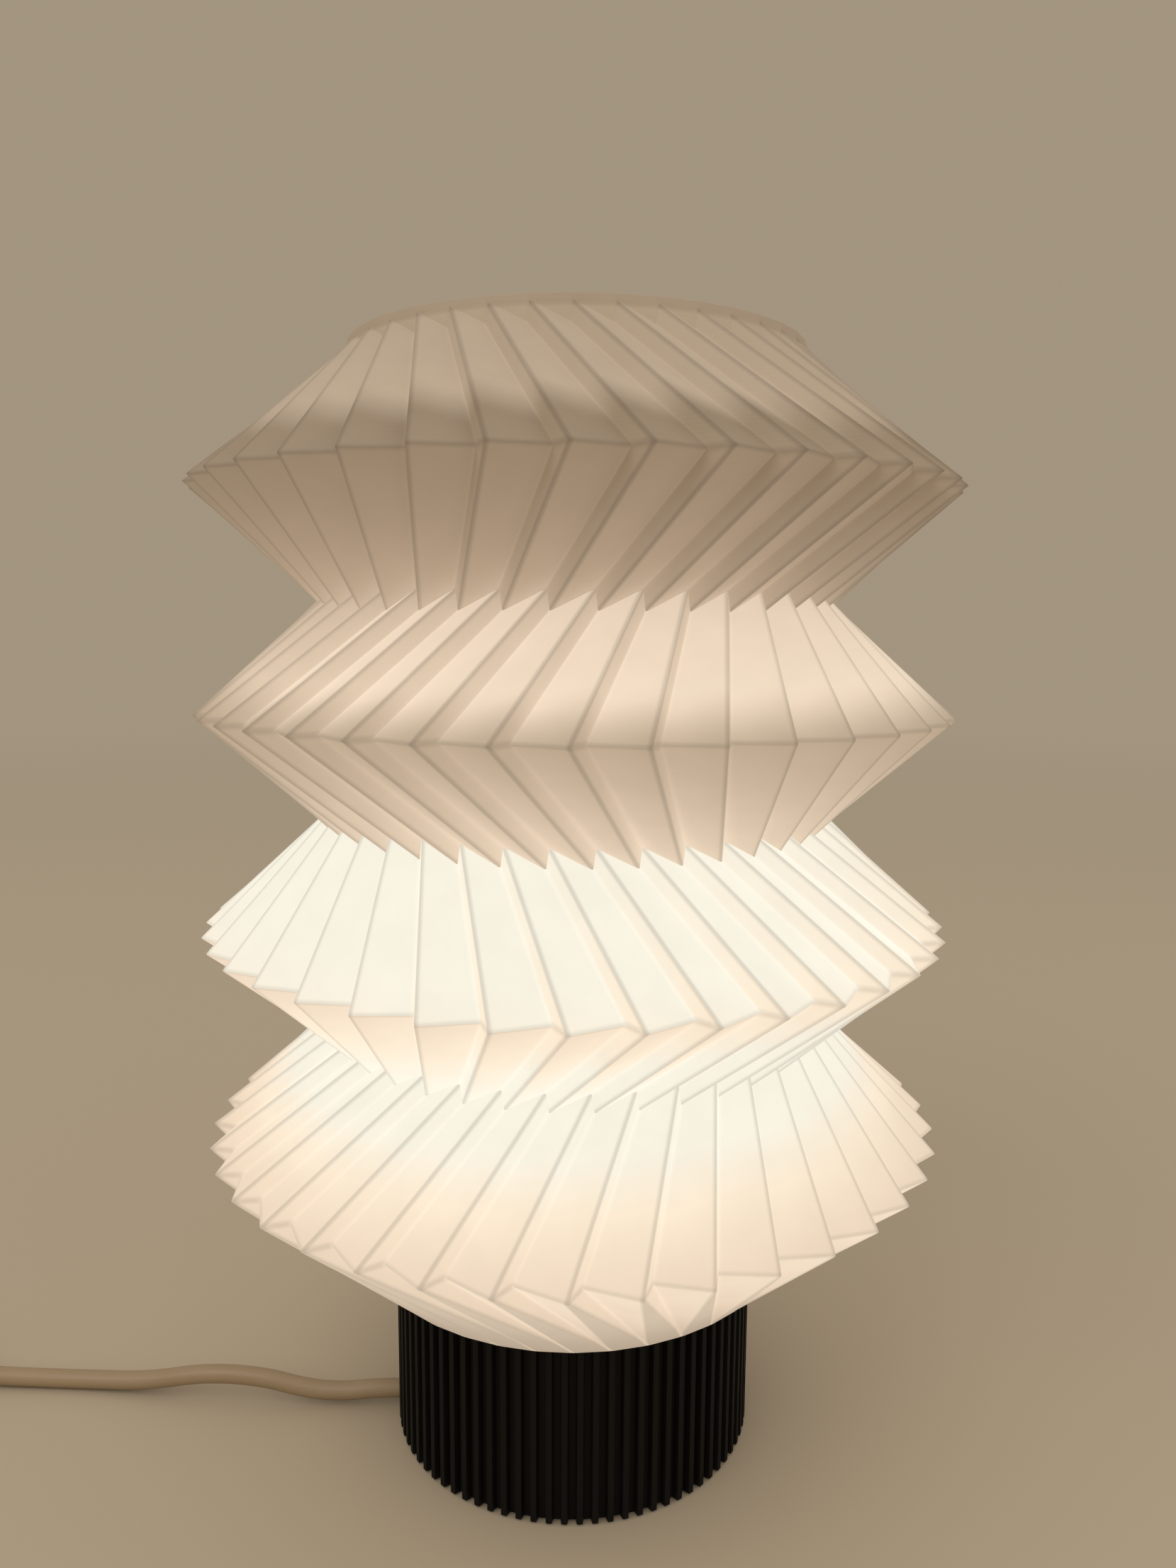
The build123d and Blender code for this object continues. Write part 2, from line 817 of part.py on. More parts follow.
def least_gap(path):
    """Least clear distance between two turns of the coil, measured on points."""
    count = round(path.length / 2.5)
    points = [path @ (k / count) for k in range(count + 1)]
    spacing = path.length / count
    apart = round(math.pi * coil_inner_radius / spacing)
    least = path.length
    for k, here in enumerate(points):
        for other in points[k + apart:]:
            least = min(least, (other - here).length)
    return least - cord_diameter


def make_coil():
    path = coil_path()
    start = Plane(origin=path @ 0, z_dir=path % 0)
    solid = sweep(start * Circle(cord_radius), path=path)
    share = solid.volume / (math.pi * cord_radius**2 * path.length)
    print(f"coil: length {path.length:.1f}, turns {coil_turns}, volume ratio {share:.4f}")
    print(f"coil: least gap to itself {least_gap(path):.3f}")
    return solid


def make_tie():
    """Band round the bundle of turns, at the coil's far left."""
    near = coil_x - coil_inner_radius - turn_pitch / 4 + cord_radius
    far = near - (coil_turns_inward - 0.5) * turn_pitch - cord_diameter
    low = coil_height - cord_radius
    high = coil_top_height + cord_radius
    half = tie_width / 2
    hole = tie_slack
    skin = tie_slack + tie_thickness
    band = block((far - skin, coil_y - half, low - skin), (near + skin, coil_y + half, high + skin))
    band = fillet(band.edges().filter_by(Axis.Y), tie_thickness)
    band -= block((far - hole, coil_y - half, low - hole), (near + hole, coil_y + half, high + hole))
    return band


# Switch

def switch_outline(inset):
    length = switch_length - 2 * inset
    width = switch_width - 2 * inset
    return RectangleRounded(length, width, switch_corner_radius - inset)


def switch_body():
    """Whole closed case before it is split, with its cavity and its cord holes."""
    case = extrude(switch_outline(0), switch_height)
    rims = case.edges().group_by(Axis.Z)[-1]
    case = fillet(rims, switch_edge_radius)
    case = chamfer(case.edges().group_by(Axis.Z)[0], switch_edge_radius / 3)
    cavity = extrude(switch_outline(switch_wall), switch_height - 2 * switch_wall)
    case -= Pos(0, 0, switch_wall) * cavity
    for side in (-1, 1):
        end = side * switch_length / 2
        case -= rod(cord_radius + thread_clearance, end, end - side * 4, 0, switch_cord_height)
    return case


def screw_places():
    return [(switch_screw_x, switch_screw_y), (-switch_screw_x, -switch_screw_y)]


def at_switch(shape):
    return Pos(switch_x, switch_y, 0) * shape


def make_switch_bottom():
    case = switch_body()
    far = switch_length
    case -= block((-far, -far, switch_cord_height), (far, far, switch_height + 1))
    for x, y in screw_places():
        case += post(switch_post_radius, switch_wall, switch_cord_height, x, y)
        case -= post(switch_screw_radius + slip_clearance, 0, switch_cord_height, x, y)
        recess_top = switch_screw_recess + switch_screw_head_height
        case -= post(switch_screw_head_radius + slip_clearance, 0, recess_top, x, y)
    return at_switch(case)


def make_switch_top():
    case = switch_body()
    far = switch_length
    case -= block((-far, -far, -1), (far, far, switch_cord_height))
    roof = switch_height - switch_wall
    for x, y in screw_places():
        case += post(switch_post_radius, switch_cord_height, roof, x, y)
        screw_top = switch_screw_recess + switch_screw_length + slip_clearance
        case -= post(switch_screw_radius, switch_cord_height, screw_top, x, y)
    slot = rocker_radius + rocker_gap
    inner = rocker_width / 2 + rocker_side_gap
    case -= block((-slot, -inner, roof), (slot, inner, switch_height))
    for side in (-1, 1):
        faces = sorted((side * inner, side * (inner + cheek_thickness)))
        cheek_bottom = pivot_height - cheek_drop
        case += block((-cheek_drop, faces[0], cheek_bottom), (cheek_drop, faces[1], roof))
    bore = Rot(90, 0, 0) * Cylinder(
        rocker_pin_radius + pivot_clearance, 2 * (inner + cheek_thickness)
    )
    case -= Pos(0, 0, pivot_height) * bore
    return at_switch(case)


def make_rocker():
    """Rocker in its rest position, pressed down at the end nearer the lamp."""
    profile = Circle(rocker_radius)
    top = [
        (-rocker_radius, rocker_end_rise),
        (0, rocker_middle_rise),
        (rocker_radius, rocker_end_rise),
        (rocker_radius, -rocker_foot_drop),
        (-rocker_radius, -rocker_foot_drop),
    ]
    profile &= make_face(Polyline(*top, close=True))
    body = extrude(Plane.XZ * profile, rocker_width / 2, both=True)
    pin = Cylinder(rocker_pin_radius, rocker_width + 2 * rocker_pin_length)
    body += Rot(90, 0, 0) * pin
    return at_switch(Pos(0, 0, pivot_height) * Rot(0, rocker_tilt, 0) * body)


def make_switch_screws():
    screws = []
    for x, y in screw_places():
        low = switch_screw_recess
        screw = post(switch_screw_head_radius, low, low + switch_screw_head_height, x, y)
        screw += post(switch_screw_radius, low, low + switch_screw_length, x, y)
        screws.append(at_switch(screw))
    return screws


def make_switch_cords():
    """Sheathed ends of both cords inside the case, and the cores that go on."""
    half = switch_length / 2
    ends = []
    for side in (-1, 1):
        sheath_end = side * (half - switch_stub_length)
        ends.append(rod(cord_radius, side * half, sheath_end, 0, switch_cord_height))
    for side, y in ((-1, -core_spread / 2), (1, -core_spread / 2)):
        block_face = side * (contact_block_x + contact_block_length / 2)
        start = side * (half - switch_stub_length)
        ends.append(rod(core_radius, start, block_face, y, switch_cord_height))
    inner = half - switch_stub_length
    ends.append(rod(core_radius, -inner, inner, core_spread / 2, switch_cord_height))
    return [at_switch(end) for end in ends]


def make_switch_contacts():
    """Brass blocks on the case's floor that take the switched core."""
    top = switch_cord_height + contact_block_rise
    y = -core_spread / 2
    blocks = []
    for side in (-1, 1):
        x = side * contact_block_x
        high_y = core_spread / 2 - core_radius - part_clearance
        blocks.append(block(
            (x - contact_block_length / 2, high_y - contact_block_width, switch_wall),
            (x + contact_block_length / 2, high_y, top),
        ))
    return [at_switch(piece) for piece in blocks]


# Plug

def at_plug(shape):
    return Pos(plug_x, plug_y, plug_height / 2) * shape


def pin_bar(radius, start, end):
    """Both pins' round bars along X, in the plug's own frame."""
    return [rod(radius, start, end, side * pin_spacing / 2, 0) for side in (-1, 1)]


def make_plug_body():
    outline = [
        (0, -plug_tail_width / 2),
        (0.36 * plug_length, -0.47 * plug_width),
        (0.62 * plug_length, -plug_width / 2),
        (plug_length, -plug_face_width / 2),
        (plug_length, plug_face_width / 2),
        (0.62 * plug_length, plug_width / 2),
        (0.36 * plug_length, 0.47 * plug_width),
        (0, plug_tail_width / 2),
    ]
    face = make_face(Polyline(*outline, close=True))
    body = extrude(face, plug_height / 2, both=True)
    body = fillet(body.edges().filter_by(Axis.Z), plug_edge_radius)
    rims = body.edges().group_by(Axis.Z)
    body = fillet(rims[0] + rims[-1], plug_edge_radius)
    root_radius = pin_radius - pin_root_inset
    for bore in pin_bar(root_radius, plug_length - pin_root_length, plug_length):
        body -= bore
    return at_plug(body)


def make_relief():
    """Tapered strain relief behind the plug, grooved round."""
    root = cord_radius + relief_root_wall
    tip = cord_radius + relief_tip_wall
    on_end = (Align.CENTER, Align.CENTER, Align.MIN)
    body = Pos(-relief_length, 0, 0) * Rot(0, 90, 0) * Cone(tip, root, relief_length, align=on_end)
    step = relief_length / (relief_groove_count + 1)
    for k in range(relief_groove_count):
        x = -relief_length + (k + 1) * step
        radius = tip + (root - tip) * (k + 1) / (relief_groove_count + 1) - relief_groove_depth
        half = relief_groove_width / 2
        groove = rod(root + 1, x - half, x + half, 0, 0) - rod(radius, x - half, x + half, 0, 0)
        body -= groove
    return at_plug(body)


def make_pins():
    start = plug_length - pin_root_length
    sleeve_end = plug_length + pin_sleeve_length
    tip = plug_length + pin_length
    pins = []
    for side in (-1, 1):
        y = side * pin_spacing / 2
        pin = rod(pin_radius, sleeve_end, tip, y, 0)
        pin = chamfer(pin.edges().group_by(Axis.X)[-1], pin_tip_chamfer)
        pin += rod(pin_radius - pin_sleeve_wall, plug_length, sleeve_end, y, 0)
        pin += rod(pin_radius - pin_root_inset, start, plug_length, y, 0)
        pins.append(at_plug(pin))
    return pins


def make_pin_sleeves():
    end = plug_length + pin_sleeve_length
    outer = pin_bar(pin_radius, plug_length, end)
    inner = pin_bar(pin_radius - pin_sleeve_wall, plug_length, end)
    return [at_plug(big - small) for big, small in zip(outer, inner)]


parts = {
    "shade_shell": make_shade(),
    "base_shell": make_base_shell(),
    "base_bottom_plate": make_bottom_plate(),
    "bottom_plate_screws": make_plate_screws(),
    "anti_slip_ring": make_pad(),
    "cord_bushing": make_bushing(),
    "cord_inside": make_inner_cord(),
    "cord_clamp_bar": make_clamp_bar(),
    "cord_clamp_screws": make_clamp_screws(),
    "holder_leads": make_leads(),
    "holder_cap": make_holder_cap(),
    "holder_skirt": make_skirt(),
    "holder_upper_ring": make_locking_ring(base_height),
    "holder_lower_ring": make_locking_ring(plate_underside - locking_ring_height),
    "holder_insulator": make_insulator(),
    "holder_screw_shell": make_screw_shell(),
    "holder_centre_contact": make_centre_contact(),
    "holder_terminals": make_terminals(),
    "holder_terminal_screws": make_terminal_screws(),
    "bulb_centre_contact": make_bulb_tip(),
    "bulb_cap_insulator": make_bulb_insulator(),
    "bulb_screw_cap": make_bulb_cap(),
    "bulb_housing": make_housing(),
    "bulb_driver_board": make_driver_board(),
    "bulb_led_board": make_led_board(),
    "bulb_diffuser": make_diffuser(),
    "cord_free_run": cord_along("cord to switch", route_to_switch),
    "switch_bottom_half": make_switch_bottom(),
    "switch_top_half": make_switch_top(),
    "switch_rocker": make_rocker(),
    "switch_screws": make_switch_screws(),
    "switch_contacts": make_switch_contacts(),
    "switch_cord_ends": make_switch_cords(),
    "cord_switch_to_coil": cord_along("cord to coil", route_to_coil),
    "cord_coil": make_coil(),
    "coil_tie": make_tie(),
    "cord_to_plug": cord_along("cord to plug", route_to_plug),
    "plug_strain_relief": make_relief(),
    "plug_body": make_plug_body(),
    "plug_pins": make_pins(),
    "plug_pin_sleeves": make_pin_sleeves(),
}

os.makedirs("parts", exist_ok=True)
for name, shape in parts.items():
    solid = Compound(children=shape) if isinstance(shape, list) else shape
    export_step(solid, f"parts/{name}.step")
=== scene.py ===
"""Looks of a table lamp with a pleated, printed shade that is lit from inside."""

import logging
import math
from dataclasses import dataclass
from enum import Enum

import bpy
from bpy.types import Material, Node, NodeSocket, NodeTree, Object
from mathutils import Matrix, Vector


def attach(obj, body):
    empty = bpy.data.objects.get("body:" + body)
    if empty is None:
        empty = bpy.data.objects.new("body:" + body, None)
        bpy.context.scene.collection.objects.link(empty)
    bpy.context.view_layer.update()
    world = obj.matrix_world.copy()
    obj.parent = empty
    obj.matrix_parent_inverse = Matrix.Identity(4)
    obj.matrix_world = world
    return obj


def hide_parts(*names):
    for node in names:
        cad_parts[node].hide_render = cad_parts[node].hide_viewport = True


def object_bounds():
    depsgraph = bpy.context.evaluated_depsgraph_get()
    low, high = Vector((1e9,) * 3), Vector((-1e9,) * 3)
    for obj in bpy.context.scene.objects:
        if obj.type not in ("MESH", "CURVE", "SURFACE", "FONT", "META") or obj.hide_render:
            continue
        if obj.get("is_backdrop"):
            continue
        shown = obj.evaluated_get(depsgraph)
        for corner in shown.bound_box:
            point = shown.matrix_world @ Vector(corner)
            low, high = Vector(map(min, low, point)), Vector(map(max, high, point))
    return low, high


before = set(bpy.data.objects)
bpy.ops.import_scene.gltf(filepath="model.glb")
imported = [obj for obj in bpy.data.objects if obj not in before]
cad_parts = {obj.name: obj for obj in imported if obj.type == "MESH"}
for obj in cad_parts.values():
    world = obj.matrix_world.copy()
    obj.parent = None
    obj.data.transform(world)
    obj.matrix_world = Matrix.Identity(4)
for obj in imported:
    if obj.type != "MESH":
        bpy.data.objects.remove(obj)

LOG = logging.getLogger("pleated_lamp")
PHOTO_WIDTH = 1659
MM = 0.001

Point = tuple[float, float, float]
# A tube's points, each with its share of the tube's radius.
Route = list[tuple[float, float, float, float]]


class Crease(Enum):
    """Kinds of crease between two facets of the shade, and where their distances are kept."""

    RIDGE = 0
    VALLEY = 1
    RING = 2


# Small tools


def linear(hex_colour: str) -> tuple[float, float, float, float]:
    """Turns an sRGB hex colour into the linear colour that shaders and lamps take.

    Args:
        hex_colour: Six hex digits after a hash sign.

    Returns:
        Red, green, blue and an alpha of 1.
    """
    shares = [int(hex_colour[k:k + 2], 16) / 255 for k in (1, 3, 5)]
    red, green, blue = [
        share / 12.92 if share <= 0.04045 else ((share + 0.055) / 1.055) ** 2.4
        for share in shares
    ]
    return (red, green, blue, 1.0)


def add_node(tree: NodeTree, kind: str, inputs: dict | None = None, **settings: object) -> Node:
    """Adds a node with its settings, plain values and links.

    Args:
        tree: The node tree that gets the node.
        kind: The node's type name.
        inputs: Socket names or numbers, each with a plain value or with the output to link.
        settings: Attributes of the node itself.

    Returns:
        The new node.
    """
    node = tree.nodes.new(kind)
    for name, value in settings.items():
        setattr(node, name, value)
    for key, value in (inputs or {}).items():
        if isinstance(value, NodeSocket):
            tree.links.new(value, node.inputs[key])
        else:
            node.inputs[key].default_value = value
    return node


def set_stops(ramp: Node, stops: tuple[tuple[float, str], ...]) -> None:
    """Gives a colour ramp its stops.

    Args:
        ramp: The colour ramp node.
        stops: Places from 0 to 1, each with an sRGB hex colour.
    """
    elements = ramp.color_ramp.elements
    while len(elements) > 1:
        elements.remove(elements[-1])
    elements[0].position, elements[0].color = stops[0][0], linear(stops[0][1])
    for place, colour in stops[1:]:
        elements.new(place).color = linear(colour)


def only_select(piece: Object) -> None:
    """Deselects everything else, and makes one object selected and active."""
    bpy.ops.object.select_all(action="DESELECT")
    piece.select_set(True)
    bpy.context.view_layer.objects.active = piece


def apply_modifiers(piece: Object) -> None:
    """Applies all of a piece's modifiers, first to last."""
    only_select(piece)
    for modifier in list(piece.modifiers):
        bpy.ops.object.modifier_apply(modifier=modifier.name)


def dress(piece: Object, finish: "Finish") -> None:
    """Puts one finish on every face of a piece.

    Args:
        piece: A CAD node's object, a new mesh or a curve.
        finish: The finish to put on it.
    """
    material = finish.material()
    if not piece.material_slots:
        piece.data.materials.append(material)
    for slot in piece.material_slots:
        slot.material = material


# Finishes


@dataclass(frozen=True)
class Finish:
    """What every finish states.

    Attributes:
        name: The material's name, which says what it is and how it was made.
        slot: The record's material slot. Nothing in this script reads it.
        colour: sRGB hex colour.
        roughness: The surface's usual roughness.
        ior: Refractive index.
    """

    name: str
    slot: str
    colour: str
    roughness: float = 0.5
    ior: float = 1.5

    def material(self) -> Material:
        """Makes the material once, and returns the same one after that."""
        known = bpy.data.materials.get(self.name)
        if known:
            return known
        material = bpy.data.materials.new(self.name)
        material.use_nodes = True
        tree = material.node_tree
        tree.nodes.clear()
        shader = add_node(
            tree,
            "ShaderNodeBsdfPrincipled",
            {"Base Color": linear(self.colour), "Roughness": self.roughness, "IOR": self.ior},
        )
        add_node(tree, "ShaderNodeOutputMaterial", {"Surface": shader.outputs[0]})
        self.pattern(tree, shader)
        return material

    def pattern(self, tree: NodeTree, shader: Node) -> None:
        """Draws the finish's own detail. The plain finish has none.

        Args:
            tree: The material's node tree.
            shader: Its principled shader.
        """


@dataclass(frozen=True)
class Neck:
    """A narrow place of the shade, as the bulb's light meets it.

    Attributes:
        tier: Number of the tier that starts above it, where the lowest tier is 0.
        height: Its height.
        blocked: Slope of the light, upward over outward, up to which the neck blocks it.
        clear: Slope from which all of it passes.
        share: Bounced light that comes through the neck.
        fade: Height over which that light falls to 37%.
    """

    tier: int
    height: float
    blocked: float
    clear: float
    share: float
    fade: float


@dataclass(frozen=True)
class GlowingPrint(Finish):
    """White PLA, printed in layers with a thin wall, with the bulb's light coming through.

    It gives the eye a warm white wall that is brightest nearest the bulb, with painted shade
    along its outer folds, where the wall is thickest, and painted shadows of the necks, and that
    is faintly lined all round. The bulb's light through the wall is a painted glow, and the fold
    lines and painted shade for the room's light also darken the base colour. Light is counted
    so that 1 is as bright as the wall gets.

    Attributes:
        bulb_height: Height of the bulb's middle.
        full_distance: Distance from the bulb at which its light counts in full.
        falloff: Power of the distance by which it falls from there.
        square_on: What light that meets the wall square on has more than light that grazes it.
        grazing: What comes through of light that only grazes the wall.
        foot_dark: Rise of the rays, as a sine, up to which the bulb's opaque foot is in the way.
        foot_clear: Rise from which it no longer is.
        foot_level: What still gets past the foot.
        necks: The necks that cast a shadow, lowest first.
        lip_height: Height where the smooth lip round the top opening starts.
        lip_share: Direct light that comes through the lip, which is thicker.
        bounced: Bounced light in the tiers below the first of those necks.
        from_below: Light from the bright tiers below, on what faces down over that neck.
        inner_extra: What the inner side has more than the outer one.
        outshone: What counts of the room's light where the wall glows most, as painted shade
            in the base colour.
        facing_up: What counts of it on facets that face up, as the lamp lights the room
            from below; also painted shade in the base colour.
        layer_pitch: Height of one drawn layer. Real ones are 0.25 mm, too fine to show.
        blot: Size of the faint unevenness of the wall.
        creases: Each kind of crease, with how far its painted line reaches and how bright it is:
        painted shade at ridges and rings, a faint painted light at valleys.
        stops: Glow colours against the light that reaches the wall.
    """

    bulb_height: float = 0.1069
    full_distance: float = 0.1
    falloff: float = 1.898
    square_on: float = 0.581
    grazing: float = 0.215
    foot_dark: float = -0.861
    foot_clear: float = 0.639
    foot_level: float = 0.06
    necks: tuple[Neck, ...] = (
        Neck(2, 177.2 * MM, blocked=0.94, clear=1.294, share=0.4, fade=56.5 * MM),
        Neck(3, 234.0 * MM, blocked=1.781, clear=2.165, share=0.226, fade=19.6 * MM),
    )
    lip_height: float = 296.2 * MM
    lip_share: float = 0.5
    bounced: float = 0.308
    from_below: float = 0.071
    inner_extra: float = 0.3
    outshone: float = 0.15
    facing_up: float = 0.7
    layer_pitch: float = 1.0 * MM
    blot: float = 11.1 * MM
    creases: tuple[tuple[Crease, float, float], ...] = (
        (Crease.RIDGE, 1.2 * MM, 0.76),
        (Crease.VALLEY, 1.0 * MM, 1.04),
        (Crease.RING, 1.3 * MM, 0.84),
    )
    stops: tuple[tuple[float, str], ...] = (
        (0.0, "#000000"),
        (0.03, "#4a3d2e"),
        (0.1, "#716456"),
        (0.27, "#9d8d7a"),
        (0.58, "#dfccb6"),
        (0.76, "#f1e1ca"),
        (1.0, "#f3eede"),
    )

    def pattern(self, tree: NodeTree, shader: Node) -> None:
        """Adds the light that comes through, the folds' lines and the layer lines.

        Args:
            tree: The material's node tree.
            shader: Its principled shader.
        """
        place = add_node(tree, "ShaderNodeTexCoord")
        light = self.light_on_wall(tree, place)
        folds = add_node(tree, "ShaderNodeAttribute", attribute_name="fold")
        edges = add_node(tree, "ShaderNodeSeparateXYZ", {0: folds.outputs["Vector"]})
        mottle = add_node(
            tree,
            "ShaderNodeTexNoise",
            {"Vector": place.outputs["Object"], "Scale": 1 / self.blot, "Detail": 3.0},
        )
        shade = add_node(
            tree,
            "ShaderNodeMapRange",
            {0: mottle.outputs["Fac"], 1: 0.3, 2: 0.7, 3: 0.98, 4: 1.02},
        )
        # Painted shade along the ridges and rings, and a faint painted light along the valleys, on
        # both the glow and the base colour; the noise above is the wall's own random unevenness.
        for crease, reach, level in self.creases:
            line = add_node(
                tree,
                "ShaderNodeMapRange",
                {0: edges.outputs[crease.value], 1: 0.1 * MM, 2: reach, 3: level, 4: 1.0},
                interpolation_type="SMOOTHSTEP",
            )
            shade = add_node(
                tree,
                "ShaderNodeMath",
                {0: shade.outputs[0], 1: line.outputs[0]},
                operation="MULTIPLY",
            )
        glow = add_node(tree, "ShaderNodeValToRGB", {0: light})
        set_stops(glow, self.stops)
        glow = add_node(
            tree,
            "ShaderNodeVectorMath",
            {0: glow.outputs["Color"], "Scale": shade.outputs[0]},
            operation="SCALE",
        )
        # Painted shade in the base colour: where the wall glows, the room's light hardly counts,
        # and it counts less on the facets that face up, because the lamp lights the room from
        # below.
        outshone = add_node(
            tree, "ShaderNodeMapRange", {0: light, 1: 0.0, 2: 1.0, 3: 1.0, 4: self.outshone}
        )
        normal = add_node(tree, "ShaderNodeSeparateXYZ", {0: place.outputs["Normal"]})
        upward = add_node(
            tree,
            "ShaderNodeMapRange",
            {0: normal.outputs["Z"], 1: 0.0, 2: 1.0, 3: 1.0, 4: self.facing_up},
        )
        outshone = add_node(
            tree,
            "ShaderNodeMath",
            {0: outshone.outputs[0], 1: upward.outputs[0]},
            operation="MULTIPLY",
        )
        body = add_node(
            tree,
            "ShaderNodeMath",
            {0: outshone.outputs[0], 1: shade.outputs[0]},
            operation="MULTIPLY",
        )
        body = add_node(
            tree,
            "ShaderNodeVectorMath",
            {0: linear(self.colour)[:3], "Scale": body.outputs[0]},
            operation="SCALE",
        )
        layers = add_node(
            tree,
            "ShaderNodeTexWave",
            {
                "Vector": place.outputs["Object"],
                "Scale": 2 * math.pi / 20 / self.layer_pitch,
                "Distortion": 0.6,
                "Detail": 1.0,
                "Detail Scale": 0.2,
            },
            bands_direction="Z",
        )
        bump = add_node(
            tree,
            "ShaderNodeBump",
            {"Strength": 0.25, "Distance": 0.05 * MM, "Height": layers.outputs["Fac"]},
        )
        tree.links.new(body.outputs[0], shader.inputs["Base Color"])
        tree.links.new(glow.outputs[0], shader.inputs["Emission Color"])
        tree.links.new(bump.outputs[0], shader.inputs["Normal"])
        shader.inputs["Emission Strength"].default_value = 1.0
        shader.inputs["Specular IOR Level"].default_value = 0.3

    def light_on_wall(self, tree: NodeTree, place: Node) -> NodeSocket:
        """Works out how much of the bulb's light reaches each point of the wall.

        Args:
            tree: The material's node tree.
            place: The texture coordinate node.

        Returns:
            The light, where 1 is as bright as the wall gets.
        """
        away = add_node(
            tree,
            "ShaderNodeVectorMath",
            {0: place.outputs["Object"], 1: (0.0, 0.0, self.bulb_height)},
            operation="SUBTRACT",
        )
        reach = add_node(tree, "ShaderNodeVectorMath", {0: away.outputs[0]}, operation="LENGTH")
        ray = add_node(tree, "ShaderNodeVectorMath", {0: away.outputs[0]}, operation="NORMALIZE")
        facing = add_node(
            tree,
            "ShaderNodeVectorMath",
            {0: ray.outputs[0], 1: place.outputs["Normal"]},
            operation="DOT_PRODUCT",
        )
        facing = add_node(
            tree, "ShaderNodeMath", {0: facing.outputs["Value"]}, operation="ABSOLUTE"
        )
        facing = add_node(
            tree,
            "ShaderNodeMath",
            {0: facing.outputs[0], 1: self.square_on, 2: self.grazing},
            operation="MULTIPLY_ADD",
        )
        nearness = add_node(
            tree,
            "ShaderNodeMath",
            {0: self.full_distance, 1: reach.outputs["Value"]},
            operation="DIVIDE",
        )
        nearness = add_node(
            tree, "ShaderNodeMath", {0: nearness.outputs[0], 1: self.falloff}, operation="POWER"
        )
        direct = add_node(
            tree,
            "ShaderNodeMath",
            {0: nearness.outputs[0], 1: facing.outputs[0]},
            operation="MULTIPLY",
        )
        # The bulb's opaque foot keeps its light from going far down.
        steps = add_node(tree, "ShaderNodeSeparateXYZ", {0: ray.outputs[0]})
        spread = add_node(
            tree,
            "ShaderNodeMapRange",
            {
                0: steps.outputs["Z"],
                1: self.foot_dark,
                2: self.foot_clear,
                3: self.foot_level,
                4: 1.0,
            },
            interpolation_type="SMOOTHSTEP",
        )
        direct = add_node(
            tree,
            "ShaderNodeMath",
            {0: direct.outputs[0], 1: spread.outputs[0]},
            operation="MULTIPLY",
        )
        # The necks of the shade throw a shadow on the tiers above them. The tiers count
        # from 0 and change at the waist's zigzag, so no straight line shows there.
        tier = add_node(tree, "ShaderNodeAttribute", attribute_name="tier")
        flat = add_node(
            tree,
            "ShaderNodeVectorMath",
            {0: away.outputs[0], 1: (1.0, 1.0, 0.0)},
            operation="MULTIPLY",
        )
        radius = add_node(tree, "ShaderNodeVectorMath", {0: flat.outputs[0]}, operation="LENGTH")
        parts = add_node(tree, "ShaderNodeSeparateXYZ", {0: away.outputs[0]})
        slope = add_node(
            tree,
            "ShaderNodeMath",
            {0: parts.outputs["Z"], 1: radius.outputs["Value"]},
            operation="DIVIDE",
        )
        for neck in self.necks:
            above = add_node(
                tree,
                "ShaderNodeMath",
                {0: tier.outputs["Fac"], 1: neck.tier - 0.5},
                operation="GREATER_THAN",
            )
            shadow = add_node(
                tree,
                "ShaderNodeMapRange",
                {0: slope.outputs[0], 1: neck.blocked, 2: neck.clear, 3: 1.0, 4: 0.0},
                interpolation_type="SMOOTHSTEP",
            )
            shadow = add_node(
                tree,
                "ShaderNodeMath",
                {0: shadow.outputs[0], 1: above.outputs[0]},
                operation="MULTIPLY",
            )
            lit = add_node(
                tree, "ShaderNodeMath", {0: 1.0, 1: shadow.outputs[0]}, operation="SUBTRACT"
            )
            direct = add_node(
                tree,
                "ShaderNodeMath",
                {0: direct.outputs[0], 1: lit.outputs[0]},
                operation="MULTIPLY",
            )
        # The lip round the top opening is thicker, so less comes through.
        height = add_node(tree, "ShaderNodeSeparateXYZ", {0: place.outputs["Object"]})
        thin = add_node(
            tree,
            "ShaderNodeMapRange",
            {
                0: height.outputs["Z"],
                1: self.lip_height - 0.5 * MM,
                2: self.lip_height + 0.5 * MM,
                3: 1.0,
                4: self.lip_share,
            },
        )
        direct = add_node(
            tree,
            "ShaderNodeMath",
            {0: direct.outputs[0], 1: thin.outputs[0]},
            operation="MULTIPLY",
        )
        # Light that has bounced about inside: even in the two lower tiers, and fading with
        # height from each neck that it comes through.
        first_shadowed = self.necks[0].tier - 0.5
        low = add_node(
            tree,
            "ShaderNodeMath",
            {0: tier.outputs["Fac"], 1: first_shadowed},
            operation="LESS_THAN",
        )
        light = add_node(
            tree,
            "ShaderNodeMath",
            {0: low.outputs[0], 1: self.bounced, 2: direct.outputs[0]},
            operation="MULTIPLY_ADD",
        )
        same_tier = 0.4
        for neck in self.necks:
            here = add_node(
                tree,
                "ShaderNodeMath",
                {0: tier.outputs["Fac"], 1: neck.tier, 2: same_tier},
                operation="COMPARE",
            )
            here = add_node(
                tree,
                "ShaderNodeMath",
                {0: here.outputs[0], 1: neck.share},
                operation="MULTIPLY",
            )
            fallen = add_node(
                tree,
                "ShaderNodeMath",
                {0: height.outputs["Z"], 1: -1 / neck.fade, 2: neck.height / neck.fade},
                operation="MULTIPLY_ADD",
            )
            fallen = add_node(
                tree, "ShaderNodeMath", {0: fallen.outputs[0]}, operation="EXPONENT"
            )
            light = add_node(
                tree,
                "ShaderNodeMath",
                {0: here.outputs[0], 1: fallen.outputs[0], 2: light.outputs[0]},
                operation="MULTIPLY_ADD",
            )
